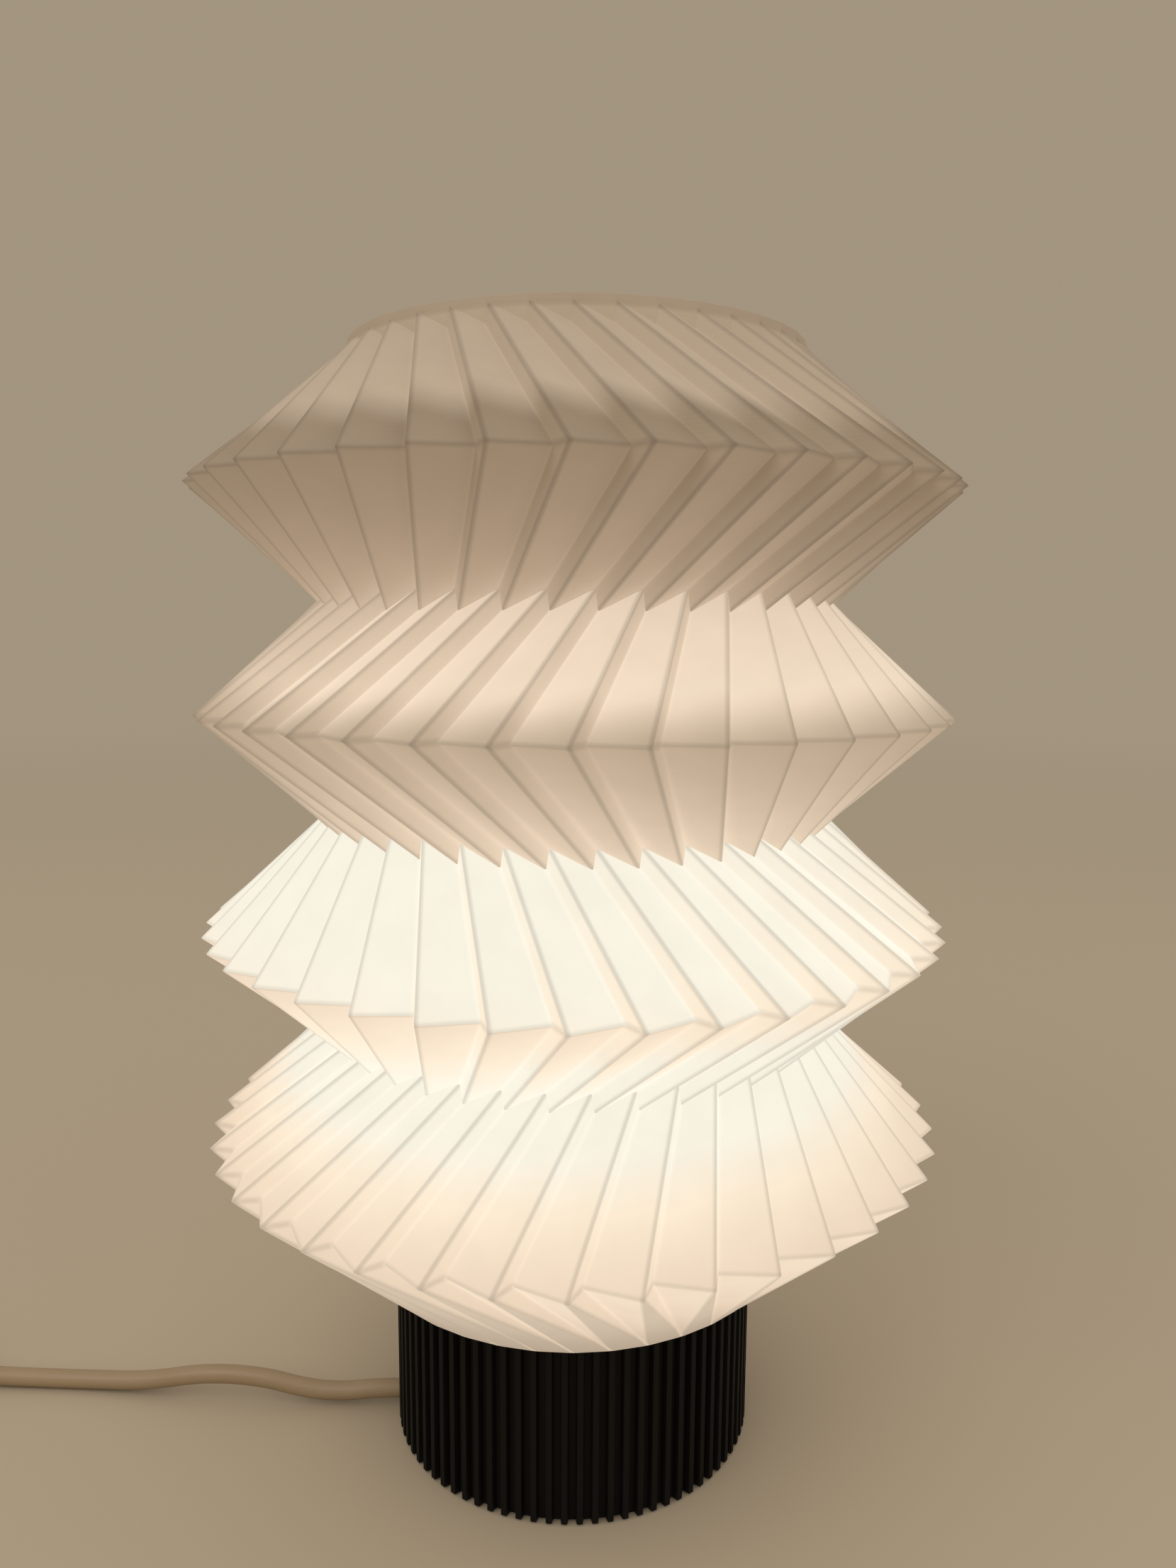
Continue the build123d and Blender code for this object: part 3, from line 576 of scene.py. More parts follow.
        # Light from the bright tiers below falls on what faces down in the two upper ones,
        # and the inner side is brighter than the outer one.
        normal = add_node(tree, "ShaderNodeSeparateXYZ", {0: place.outputs["Normal"]})
        downward = add_node(
            tree,
            "ShaderNodeMapRange",
            {0: normal.outputs["Z"], 1: 0.0, 2: -1.0, 3: 0.0, 4: self.from_below},
        )
        upper = add_node(
            tree,
            "ShaderNodeMath",
            {0: tier.outputs["Fac"], 1: first_shadowed},
            operation="GREATER_THAN",
        )
        light = add_node(
            tree,
            "ShaderNodeMath",
            {0: downward.outputs[0], 1: upper.outputs[0], 2: light.outputs[0]},
            operation="MULTIPLY_ADD",
        )
        outward = add_node(
            tree,
            "ShaderNodeVectorMath",
            {0: flat.outputs[0], 1: place.outputs["Normal"]},
            operation="DOT_PRODUCT",
        )
        # A little below 0, so that level faces count as outside.
        inside = add_node(
            tree,
            "ShaderNodeMath",
            {0: outward.outputs["Value"], 1: -5.0 * MM},
            operation="LESS_THAN",
        )
        light = add_node(
            tree,
            "ShaderNodeMath",
            {0: inside.outputs[0], 1: self.inner_extra, 2: light.outputs[0]},
            operation="MULTIPLY_ADD",
        )
        return light.outputs[0]


@dataclass(frozen=True)
class BlackPrint(Finish):
    """Matt black PETG, printed in layers: near black, with a dull upright sheen.

    Attributes:
        layer_pitch: Height of one drawn layer. Real ones are 0.2 mm, too fine to show.
        patch: Size of a patch of different gloss.
    """

    layer_pitch: float = 0.8 * MM
    patch: float = 16.7 * MM

    def pattern(self, tree: NodeTree, shader: Node) -> None:
        """Adds layer lines and patches of slightly different gloss.

        Args:
            tree: The material's node tree.
            shader: Its principled shader.
        """
        place = add_node(tree, "ShaderNodeTexCoord")
        layers = add_node(
            tree,
            "ShaderNodeTexWave",
            {
                "Vector": place.outputs["Object"],
                "Scale": 2 * math.pi / 20 / self.layer_pitch,
                "Distortion": 0.8,
                "Detail Scale": 0.3,
            },
            bands_direction="Z",
        )
        patches = add_node(
            tree,
            "ShaderNodeTexNoise",
            {"Vector": place.outputs["Object"], "Scale": 1 / self.patch, "Detail": 4.0},
        )
        gloss = add_node(
            tree,
            "ShaderNodeMapRange",
            {
                0: patches.outputs["Fac"],
                1: 0.3,
                2: 0.7,
                3: self.roughness - 0.06,
                4: self.roughness + 0.08,
            },
        )
        tint = add_node(
            tree,
            "ShaderNodeMapRange",
            {0: patches.outputs["Fac"], 1: 0.25, 2: 0.75, 3: 0.8, 4: 1.25},
        )
        body = add_node(
            tree,
            "ShaderNodeVectorMath",
            {0: linear(self.colour)[:3], "Scale": tint.outputs[0]},
            operation="SCALE",
        )
        bump = add_node(
            tree,
            "ShaderNodeBump",
            {"Strength": 0.3, "Distance": 0.04 * MM, "Height": layers.outputs["Fac"]},
        )
        shader.inputs["Specular IOR Level"].default_value = 0.15
        tree.links.new(body.outputs[0], shader.inputs["Base Color"])
        tree.links.new(gloss.outputs[0], shader.inputs["Roughness"])
        tree.links.new(bump.outputs[0], shader.inputs["Normal"])


@dataclass(frozen=True)
class MouldedPlastic(Finish):
    """Injection-moulded plastic from a spark-eroded tool: an even satin, finely pitted.

    Attributes:
        grain: Size of one drawn pit. Real ones are about 0.1 mm.
        depth: Depth of the pits.
        unevenness: How much the roughness varies over the surface.
        mark: Size of a mark left by wear or handling.
    """

    grain: float = 0.4 * MM
    depth: float = 0.01 * MM
    unevenness: float = 0.05
    mark: float = 12.5 * MM

    def pattern(self, tree: NodeTree, shader: Node) -> None:
        """Adds the pits, and the wear and handling marks that dull the gloss in places.

        Args:
            tree: The material's node tree.
            shader: Its principled shader.
        """
        place = add_node(tree, "ShaderNodeTexCoord")
        pits = add_node(
            tree,
            "ShaderNodeTexNoise",
            {"Vector": place.outputs["Object"], "Scale": 1 / self.grain, "Detail": 2.0},
        )
        marks = add_node(
            tree,
            "ShaderNodeTexNoise",
            {"Vector": place.outputs["Object"], "Scale": 1 / self.mark, "Detail": 5.0},
        )
        gloss = add_node(
            tree,
            "ShaderNodeMapRange",
            {
                0: marks.outputs["Fac"],
                1: 0.3,
                2: 0.7,
                3: self.roughness - self.unevenness,
                4: self.roughness + self.unevenness,
            },
        )
        tint = add_node(
            tree,
            "ShaderNodeMapRange",
            {0: marks.outputs["Fac"], 1: 0.25, 2: 0.75, 3: 0.97, 4: 1.03},
        )
        body = add_node(
            tree,
            "ShaderNodeVectorMath",
            {0: linear(self.colour)[:3], "Scale": tint.outputs[0]},
            operation="SCALE",
        )
        bump = add_node(
            tree,
            "ShaderNodeBump",
            {"Strength": 0.4, "Distance": self.depth, "Height": pits.outputs["Fac"]},
        )
        tree.links.new(body.outputs[0], shader.inputs["Base Color"])
        tree.links.new(gloss.outputs[0], shader.inputs["Roughness"])
        tree.links.new(bump.outputs[0], shader.inputs["Normal"])


@dataclass(frozen=True)
class PlatedMetal(Finish):
    """Plated or rolled metal: mirror-like, with faint rub marks and a duller film.

    Attributes:
        rub_length: Length of a rub mark.
        rub_width: Width of a drawn rub mark. Real ones are about 0.05 mm, too fine to show.
        blot: Size of a blot in the film.
    """

    rub_length: float = 16.7 * MM
    rub_width: float = 0.4 * MM
    blot: float = 4.55 * MM

    def pattern(self, tree: NodeTree, shader: Node) -> None:
        """Adds rub marks that run along X and a patchy film.

        Args:
            tree: The material's node tree.
            shader: Its principled shader.
        """
        shader.inputs["Metallic"].default_value = 1.0
        place = add_node(tree, "ShaderNodeTexCoord")
        along, across = 1 / self.rub_length, 1 / self.rub_width
        drawn = add_node(
            tree,
            "ShaderNodeMapping",
            {"Vector": place.outputs["Object"], "Scale": (along, across, across)},
        )
        rubs = add_node(
            tree,
            "ShaderNodeTexNoise",
            {"Vector": drawn.outputs[0], "Scale": 1.0, "Detail": 3.0},
        )
        film = add_node(
            tree,
            "ShaderNodeTexNoise",
            {"Vector": place.outputs["Object"], "Scale": 1 / self.blot, "Detail": 3.0},
        )
        gloss = add_node(
            tree,
            "ShaderNodeMapRange",
            {
                0: film.outputs["Fac"],
                1: 0.3,
                2: 0.7,
                3: self.roughness - 0.05,
                4: self.roughness + 0.1,
            },
        )
        tint = add_node(
            tree,
            "ShaderNodeMapRange",
            {0: film.outputs["Fac"], 1: 0.3, 2: 0.7, 3: 1.0, 4: 0.88},
        )
        body = add_node(
            tree,
            "ShaderNodeVectorMath",
            {0: linear(self.colour)[:3], "Scale": tint.outputs[0]},
            operation="SCALE",
        )
        bump = add_node(
            tree,
            "ShaderNodeBump",
            {"Strength": 0.15, "Distance": 0.01 * MM, "Height": rubs.outputs["Fac"]},
        )
        tree.links.new(body.outputs[0], shader.inputs["Base Color"])
        tree.links.new(gloss.outputs[0], shader.inputs["Roughness"])
        tree.links.new(bump.outputs[0], shader.inputs["Normal"])


@dataclass(frozen=True)
class Sheath(Finish):
    """Extruded soft PVC: a satin skin with long, faint ripples left by the die.

    Attributes:
        ripple: Size of a ripple.
        soiling: Size of a slightly soiled patch.
    """

    ripple: float = 3.03 * MM
    soiling: float = 22.2 * MM

    def pattern(self, tree: NodeTree, shader: Node) -> None:
        """Adds shallow ripples and slight soiling, which also dulls the gloss in places.

        Args:
            tree: The material's node tree.
            shader: Its principled shader.
        """
        place = add_node(tree, "ShaderNodeTexCoord")
        ripples = add_node(
            tree,
            "ShaderNodeTexNoise",
            {"Vector": place.outputs["Object"], "Scale": 1 / self.ripple, "Detail": 2.0},
        )
        soil = add_node(
            tree,
            "ShaderNodeTexNoise",
            {"Vector": place.outputs["Object"], "Scale": 1 / self.soiling, "Detail": 4.0},
        )
        tint = add_node(
            tree,
            "ShaderNodeMapRange",
            {0: soil.outputs["Fac"], 1: 0.3, 2: 0.7, 3: 0.94, 4: 1.03},
        )
        body = add_node(
            tree,
            "ShaderNodeVectorMath",
            {0: linear(self.colour)[:3], "Scale": tint.outputs[0]},
            operation="SCALE",
        )
        gloss = add_node(
            tree,
            "ShaderNodeMapRange",
            {
                0: soil.outputs["Fac"],
                1: 0.3,
                2: 0.7,
                3: self.roughness - 0.04,
                4: self.roughness + 0.07,
            },
        )
        bump = add_node(
            tree,
            "ShaderNodeBump",
            {"Strength": 0.3, "Distance": 0.06 * MM, "Height": ripples.outputs["Fac"]},
        )
        tree.links.new(body.outputs[0], shader.inputs["Base Color"])
        tree.links.new(gloss.outputs[0], shader.inputs["Roughness"])
        tree.links.new(bump.outputs[0], shader.inputs["Normal"])


@dataclass(frozen=True)
class OpalPlastic(Finish):
    """Opal polycarbonate over lit LEDs: an even warm white, a little duller at its foot.

    Attributes:
        light: sRGB hex colour of the light that comes through.
        duller_to: Height up to which the diffuser is dullest, near its lower edge.
        even_from: Height from which it is evenly bright.
        foot_level: How bright it is at its foot.
        level: How bright it is above.
    """

    light: str = "#f4e8d0"
    duller_to: float = 88.0 * MM
    even_from: float = 104.0 * MM
    foot_level: float = 0.45
    level: float = 0.85

    def pattern(self, tree: NodeTree, shader: Node) -> None:
        """Adds the light, which falls off towards the foot.

        Args:
            tree: The material's node tree.
            shader: Its principled shader.
        """
        place = add_node(tree, "ShaderNodeTexCoord")
        height = add_node(tree, "ShaderNodeSeparateXYZ", {0: place.outputs["Object"]})
        fall = add_node(
            tree,
            "ShaderNodeMapRange",
            {
                0: height.outputs["Z"],
                1: self.duller_to,
                2: self.even_from,
                3: self.foot_level,
                4: self.level,
            },
            interpolation_type="SMOOTHSTEP",
        )
        glow = add_node(
            tree,
            "ShaderNodeVectorMath",
            {0: linear(self.light)[:3], "Scale": fall.outputs[0]},
            operation="SCALE",
        )
        tree.links.new(glow.outputs[0], shader.inputs["Emission Color"])
        shader.inputs["Emission Strength"].default_value = 1.0


@dataclass(frozen=True)
class PrintedBoard(Finish):
    """Glass-epoxy board with a green solder mask: copper tracks show as paler lines.

    Attributes:
        track: sRGB hex colour of the mask over a track.
        track_pitch: Distance from one track to the next.
    """

    track: str = "#3f8a55"
    track_pitch: float = 2.5 * MM

    def pattern(self, tree: NodeTree, shader: Node) -> None:
        """Adds tracks under the mask.

        Args:
            tree: The material's node tree.
            shader: Its principled shader.
        """
        place = add_node(tree, "ShaderNodeTexCoord")
        upright = add_node(
            tree,
            "ShaderNodeMapping",
            {"Vector": place.outputs["Object"], "Rotation": (math.pi / 2, 0.0, 0.0)},
        )
        tracks = add_node(
            tree,
            "ShaderNodeTexBrick",
            {
                "Vector": upright.outputs[0],
                "Color1": linear(self.colour),
                "Color2": linear(self.colour),
                "Mortar": linear(self.track),
                "Scale": 1.0,
                "Mortar Size": self.track_pitch / 12,
                "Brick Width": self.track_pitch * 2.4,
                "Row Height": self.track_pitch,
            },
        )
        tree.links.new(tracks.outputs["Color"], shader.inputs["Base Color"])


# The lit wall: a painted warm white glow with painted shade along its folds, over a base colour
# darkened from white to tan as painted shade for a dim room.
WHITE_PRINT = GlowingPrint("white_pla_printed_lit", "shade_print", "#988772", 0.55, 1.46)
# Near black and so dull that only the ribs' flanks catch some light.
BLACK_PRINT = BlackPrint("black_petg_printed", "base_plastic", "#0b0a09", 0.66, 1.57)
# Soft black with no highlight and a visible grain.
PAD_RUBBER = MouldedPlastic(
    "black_silicone_moulded", "pad_rubber", "#1b1b1b", 0.75, 1.41, grain=0.8 * MM
)
# Cream sheath, its colour darkened to a warm tan as painted shade for a dim room, with one soft
# highlight along its top.
CORD_PVC = Sheath("cream_pvc_extruded", "cord_sheath", "#978162", 0.42, 1.53)
# Brown, and a little glossier than the sheath.
CORE_PVC = Sheath("brown_pvc_core_extruded", "core_insulation", "#5c3a26", 0.4, 1.53)
# Hard, smooth black with a clear highlight.
BLACK_HOLDER = MouldedPlastic(
    "black_phenolic_moulded", "holder_plastic", "#171616", 0.32, 1.6, depth=0.004 * MM
)
# Off-white and chalky.
CERAMIC = MouldedPlastic(
    "white_steatite_unglazed", "holder_ceramic", "#e2dfd4", 0.7, 1.6, grain=0.6 * MM
)
# Glassy black with a sharp highlight.
BULB_INSULATOR = MouldedPlastic(
    "black_glass_bead_fused", "bulb_insulator", "#111114", 0.15, 1.52, depth=0.002 * MM
)
# Yellow metal with soft reflections.
BRASS = PlatedMetal("brass_stamped", "contact_brass", "#c9a45c", 0.28)
# Neutral grey metal, slightly clouded.
ZINC = PlatedMetal("steel_zinc_plated", "screw_steel", "#b4b5b8", 0.32)
# Pale, warm silver.
BULB_CAP = PlatedMetal("brass_cap_nickel_plated", "bulb_cap_metal", "#c9c7c2", 0.24)
# The brightest metal here, with the sharpest reflections.
PIN_METAL = PlatedMetal("brass_pin_nickel_plated", "pin_metal", "#cfcecb", 0.18)
# Warm white satin.
BULB_HOUSING = MouldedPlastic(
    "white_pbt_moulded", "bulb_housing_plastic", "#e4e0d7", 0.38, 1.56
)
# Dark green with paler lines.
BOARD = PrintedBoard("green_board_masked", "circuit_board", "#1f5a33", 0.35, 1.5)
# A flat, slightly grey white.
LED_BOARD = MouldedPlastic(
    "aluminium_board_white_masked", "bulb_board_aluminium", "#e2e1dc", 0.45, 1.5
)
# A warm light that is even except at its foot.
OPAL = OpalPlastic("opal_polycarbonate_lit", "bulb_diffuser_plastic", "#3a342b", 0.3, 1.58)
# Cream white satin with a fine grain.
SWITCH_ABS = MouldedPlastic("white_abs_moulded", "switch_plastic", "#dcd3c4", 0.36, 1.53)
# Milky white, duller than the switch.
TIE_NYLON = MouldedPlastic("white_nylon_moulded", "tie_plastic", "#dedacf", 0.5, 1.53)
# Plain dark grey beside the bright pins.
SLEEVE = MouldedPlastic("black_pin_sleeve_moulded", "sleeve_plastic", "#232323", 0.45, 1.53)


# Sub-assemblies


@dataclass
class Shade:
    """The pleated shade, made from the CAD shell with its folds softened.

    Attributes:
        lowest_ring: Height of the lowest of the widest rings.
        tier_height: Height from one widest ring to the next.
        tiers: Number of widest rings.
        ridge_radius_from: Above this radius a ring's corner is a ridge, and below it a valley.
        fold_radius: Width of the rounding along each fold.
        fold_angle: Bend in degrees from which an edge is a fold.
        ring_band: How far from a ring's height a corner may lie and still be on it.
        far: Distance that stands for having no crease of a kind.
    """

    lowest_ring: float = 92.0 * MM
    tier_height: float = 56.8 * MM
    tiers: int = 4
    ridge_radius_from: float = 96.1 * MM
    fold_radius: float = 0.3 * MM
    fold_angle: float = 12.0
    ring_band: float = 0.2 * MM
    far: float = 50.0 * MM

    def build(self) -> Object:
        """Copies the shell, marks its folds and rounds them.

        Returns:
            The finished shade.
        """
        piece = merged_copy("shade_shell", "shade_pleated")
        self.mark_folds(piece)
        fold = piece.modifiers.new("fold", "BEVEL")
        fold.width = self.fold_radius
        fold.segments = 2
        fold.limit_method = "ANGLE"
        fold.angle_limit = math.radians(self.fold_angle)
        fold.harden_normals = True
        only_select(piece)
        bpy.ops.object.shade_smooth()
        apply_modifiers(piece)
        dress(piece, WHITE_PRINT)
        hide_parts("shade_shell")
        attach(piece, "shade")
        return piece

    def mark_folds(self, piece: Object) -> None:
        """Writes each facet's tier, and how far each of its corners lies from its creases.

        The three distances are to the ridge, to the valley and to the ring. A distance to a
        straight edge changes evenly over a flat facet, so corners are enough.

        Args:
            piece: The merged copy of the shell.
        """
        rings = [self.lowest_ring + k * self.tier_height for k in range(self.tiers)]
        mesh = piece.data
        mesh.attributes.new("fold", "FLOAT_VECTOR", "CORNER")
        mesh.attributes.new("tier", "FLOAT", "CORNER")
        fold, tier = mesh.attributes["fold"], mesh.attributes["tier"]
        for polygon in mesh.polygons:
            corners = [mesh.vertices[v].co for v in polygon.vertices]
            on_ring = [any(abs(c.z - ring) < self.ring_band for ring in rings) for c in corners]
            touched = [c.z for c, on in zip(corners, on_ring) if on] or [polygon.center.z]
            number = round((touched[0] - self.lowest_ring) / self.tier_height)
            lines: dict[Crease, list[tuple[Vector, Vector]]] = {kind: [] for kind in Crease}
            for k, start in enumerate(corners):
                after = (k + 1) % len(corners)
                end = corners[after]
                if on_ring[k] and on_ring[after]:
                    lines[Crease.RING].append((start, end))
                elif on_ring[k] or on_ring[after]:
                    foot = start if on_ring[k] else end
                    ridge = math.hypot(foot.x, foot.y) > self.ridge_radius_from
                    lines[Crease.RIDGE if ridge else Crease.VALLEY].append((start, end))
            for index, corner in zip(polygon.loop_indices, corners):
                tier.data[index].value = min(max(number, 0), self.tiers - 1)
                fold.data[index].vector = [
                    min([distance_to_line(corner, *line) for line in lines[kind]] + [self.far])
                    for kind in Crease
                ]


def distance_to_line(point: Vector, start: Vector, end: Vector) -> float:
    """Distance from a point to the straight line through two others.

    Args:
        point: The point.
        start: One point of the line.
        end: Another point of the line.

    Returns:
        The distance in metres.
    """
    along = end - start
    return (point - start).cross(along).length / along.length


def merged_copy(node: str, name: str) -> Object:
    """Copies a CAD node, joins its loose triangles and clears the edges inside flat faces.

    Args:
        node: The CAD node.
        name: The new piece's name.

    Returns:
        The copy, with its own mesh and no material.
    """
    same_place = 0.005 * MM
    flat = math.radians(0.3)
    piece = bpy.data.objects.new(name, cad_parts[node].data.copy())
    bpy.context.scene.collection.objects.link(piece)
    piece.data.materials.clear()
    only_select(piece)
    bpy.ops.object.mode_set(mode="EDIT")
    bpy.ops.mesh.select_all(action="SELECT")
    bpy.ops.mesh.remove_doubles(threshold=same_place)
    bpy.ops.mesh.dissolve_limited(angle_limit=flat)
    bpy.ops.object.mode_set(mode="OBJECT")
    return piece


def tubes(name: str, routes: list[Route], radius: float, roundness: int, steps: int) -> Object:
    """Makes round tubes along smooth lines, as one curve.

    Args:
        name: The piece's name.
        routes: For each tube its points in millimetres, each with its share of the radius.
        radius: The tubes' radius in metres.
        roundness: The curve's bevel resolution.
        steps: Steps along the line from one point to the next.

    Returns:
        The piece, with no material.
    """
    curve = bpy.data.curves.new(name, "CURVE")
    curve.dimensions = "3D"
    curve.bevel_depth = radius
    curve.bevel_resolution = roundness
    curve.resolution_u = steps
    curve.use_fill_caps = True
    for route in routes:
        line = curve.splines.new("NURBS")
        line.points.add(len(route) - 1)
        for point, (x, y, z, share) in zip(line.points, route):
            point.co = (x * MM, y * MM, z * MM, 1.0)
            point.radius = share
        line.order_u = 3
        line.use_endpoint_u = True
        line.use_smooth = True
    piece = bpy.data.objects.new(name, curve)
    bpy.context.scene.collection.objects.link(piece)
    return piece


@dataclass
class SupplyCord:
    """The round cord: out to the switch, and on through its put-away coil to the plug.

    Its diameter is in metres, and all other lengths are in millimetres.

    Attributes:
        diameter: The sheath's diameter.
        to_switch: Route from the base to the switch.
        to_coil: Route from the switch to the coil's first turn.
        to_plug: Route from the coil's last turn to the plug.
        coil_centre: Where the coil's middle lies on the floor.
        coil_heights: Heights of the cord's middle in the lower and in the upper layer.
        coil_outer_radius: Radius of the outermost turn, to the cord's middle.
        turn_pitch: Distance from one turn to the next, sideways and upward.
        turns_inward: Turns in each layer.
        points_per_turn: Points that carry each turn.
    """

    diameter: float = 5.2 * MM
    to_switch: tuple[Point, ...] = (
        (-51.0, -3.5, 5.0),
        (-58.0, -3.5, 5.0),
        (-67.5, -3.3, 3.7),
        (-78.5, -2.8, 4.3),
        (-92.0, -2.1, 7.8),
        (-109.0, -1.0, 8.2),
        (-127.0, 1.5, 3.7),
        (-145.0, 3.8, 2.62),
        (-162.0, 4.7, 2.62),
        (-176.0, 5.25, 2.9),
        (-187.5, 5.2, 6.0),
        (-198.0, 5.2, 6.0),
    )
    to_coil: tuple[Point, ...] = (
        (-256.0, 5.2, 6.0),
        (-266.2, 5.2, 6.0),
        (-279.8, 5.2, 3.6),
        (-290.0, 5.2, 3.6),
    )
    to_plug: tuple[Point, ...] = (
        (-290.0, -77.5, 9.4),
        (-278.0, -77.5, 9.4),
        (-262.0, -77.5, 6.85),
        (-250.0, -77.5, 6.85),
    )
    coil_centre: tuple[float, float] = (-295.2, -36.15)
    coil_heights: tuple[float, float] = (3.6, 9.4)
    coil_outer_radius: float = 41.35
    turn_pitch: float = 5.8
    turns_inward: float = 3.5
    points_per_turn: int = 16

    def build(self) -> list[Object]:
        """Returns:
            The two cords.
        """
        near = self.stretch("cord_lamp_to_switch", list(self.to_switch))
        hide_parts("cord_free_run")
        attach(near, "base")
        route = [*self.to_coil, *self.coil_points(), *self.to_plug]
        rest = self.stretch("cord_switch_to_plug", route)
        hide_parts("cord_switch_to_coil", "cord_coil", "cord_to_plug")
        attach(rest, "base")
        return [near, rest]

    def coil_points(self) -> list[Point]:
        """Points of the coil: in on the lower layer, up at its middle and out again on top.

        Returns:
            The points in millimetres, first turn first.
        """
        low, high = self.coil_heights
        inner = self.coil_outer_radius - self.turns_inward * self.turn_pitch
        # The spline runs a little inside its points, so the points stand out by as much.
        inside = 0.75 + 0.25 * math.cos(2 * math.pi / self.points_per_turn)
        count = round((2 * self.turns_inward + 0.5) * self.points_per_turn)
        points = []
        for k in range(1, count):
            turns = k / self.points_per_turn
            beyond = turns - self.turns_inward
            if beyond <= 0:
                radius, height = self.coil_outer_radius - turns * self.turn_pitch, low
            elif beyond < 0.5:
                dip = self.turn_pitch / 4 * math.sin(2 * math.pi * beyond)
                radius = inner - dip
                height = low + (high - low) * (1 - math.cos(2 * math.pi * beyond)) / 2
            else:
                radius, height = inner + (beyond - 0.5) * self.turn_pitch, high
            angle = math.radians(90 + 360 * turns)
            points.append(
                (
                    self.coil_centre[0] + radius / inside * math.cos(angle),
                    self.coil_centre[1] + radius / inside * math.sin(angle),
                    height,
                )
            )
        return points

    def stretch(self, name: str, route: list[Point]) -> Object:
        """Makes a cord that follows a route on one smooth line.

        Args:
            name: The piece's name.
            route: The line's points in millimetres.

        Returns:
            The cord as a curve.
        """
        points = [(*place, 1.0) for place in route]
        piece = tubes(name, [points], self.diameter / 2, roundness=5, steps=8)
        dress(piece, CORD_PVC)
        return piece


@dataclass
class InnerWiring:
    """The cord and its cores inside the base and the switch, in millimetres.

    Attributes:
        sheath_radius: The cord's radius.
        core_radius: Radius of one insulated core.
        base_side: How far to the side the cord lies in the base.
        base_height: Height of the cord's middle in the base.
        terminals: The two terminals' places under the lampholder.
        terminal_height: Height of the leads' upper ends.
        bend_size: Size of the leads' bend upward.
        switch_centre: The switch's middle.
    """

    sheath_radius: float = 2.6
    core_radius: float = 0.8
    base_side: float = -3.5
    base_height: float = 5.0
    terminals: tuple[tuple[float, float], ...] = ((-1.5, -4.7), (6.5, -2.3))
    terminal_height: float = 19.0
    bend_size: float = 3.5
    switch_centre: Point = (-227.0, 5.2, 6.0)

    def build(self) -> list[Object]:
        """Makes the sheathed ends and the cores.

        Returns:
            The sheath in the base, its cores, the sheaths in the switch and their cores.
        """
        side, height, bend = self.base_side, self.base_height, self.bend_size
        # The sheath is pinched a little under the clamp bar, and its cut end is rounded.
        in_base = [
            (-51.0, side, height, 1.0),
            (-34.0, side, height, 1.0),
            (-24.0, side, height, 0.94),
            (-14.5, side, height, 1.0),
            (-12.4, side, height, 0.98),
            (-12.0, side, height, 0.82),
        ]
        leads = [
            [
                (-12.6, y, height, 1.0),
                (x - bend, y, height, 1.0),
                (x, y, height + bend, 1.0),
                (x, y, self.terminal_height, 1.0),
            ]
            for x, y in self.terminals
        ]
        # In the switch each point is given by how far it lies from the switch's middle.
        middle, line, level = self.switch_centre
        stubs = [
            [
                (middle + way * 29.0, line, level, 1.0),
                (middle + way * 24.0, line, level, 1.0),
                (middle + way * 20.4, line, level, 0.98),
                (middle + way * 20.0, line, level, 0.82),
            ]
            for way in (-1, 1)
        ]
        switched = [
            [
                (middle + way * 20.6, line - 1.2, level, 1.0),
                (middle + way * 17.5, line - 1.05, level, 1.0),
                (middle + way * 15.0, line - 1.2, level, 1.0),
            ]
            for way in (-1, 1)
        ]
        through = [
            (middle + along, line + beside, level, 1.0)
            for along, beside in ((-20.6, 1.2), (-10.0, 1.5), (0.0, 1.0), (10.0, 1.5), (20.6, 1.2))
        ]
        sheath, core = self.sheath_radius, self.core_radius
        return [
            self.wire("sheath_in_base", [in_base], sheath, CORD_PVC, "cord_inside"),
            self.wire("cores_in_base", leads, core, CORE_PVC, "holder_leads"),
            self.wire("sheaths_in_switch", stubs, sheath, CORD_PVC, "switch_cord_ends"),
            self.wire(
                "cores_in_switch", [*switched, through], core, CORE_PVC, "switch_cord_ends"
            ),
        ]

    def wire(
        self, name: str, routes: list[Route], radius: float, finish: Finish, node: str
    ) -> Object:
        """Makes one piece of the wiring, as a mesh.

        Args:
            name: The piece's name.
            routes: For each tube its points, each with its share of the radius.
            radius: The tubes' radius.
            finish: The tubes' finish.
            node: The CAD node that the piece stands for.

        Returns:
            The piece.
        """
        piece = tubes(name, routes, radius * MM, roundness=4, steps=6)
        only_select(piece)
        bpy.ops.object.convert(target="MESH")
        dress(piece, finish)
        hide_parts(node)
        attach(piece, "base")
        return piece


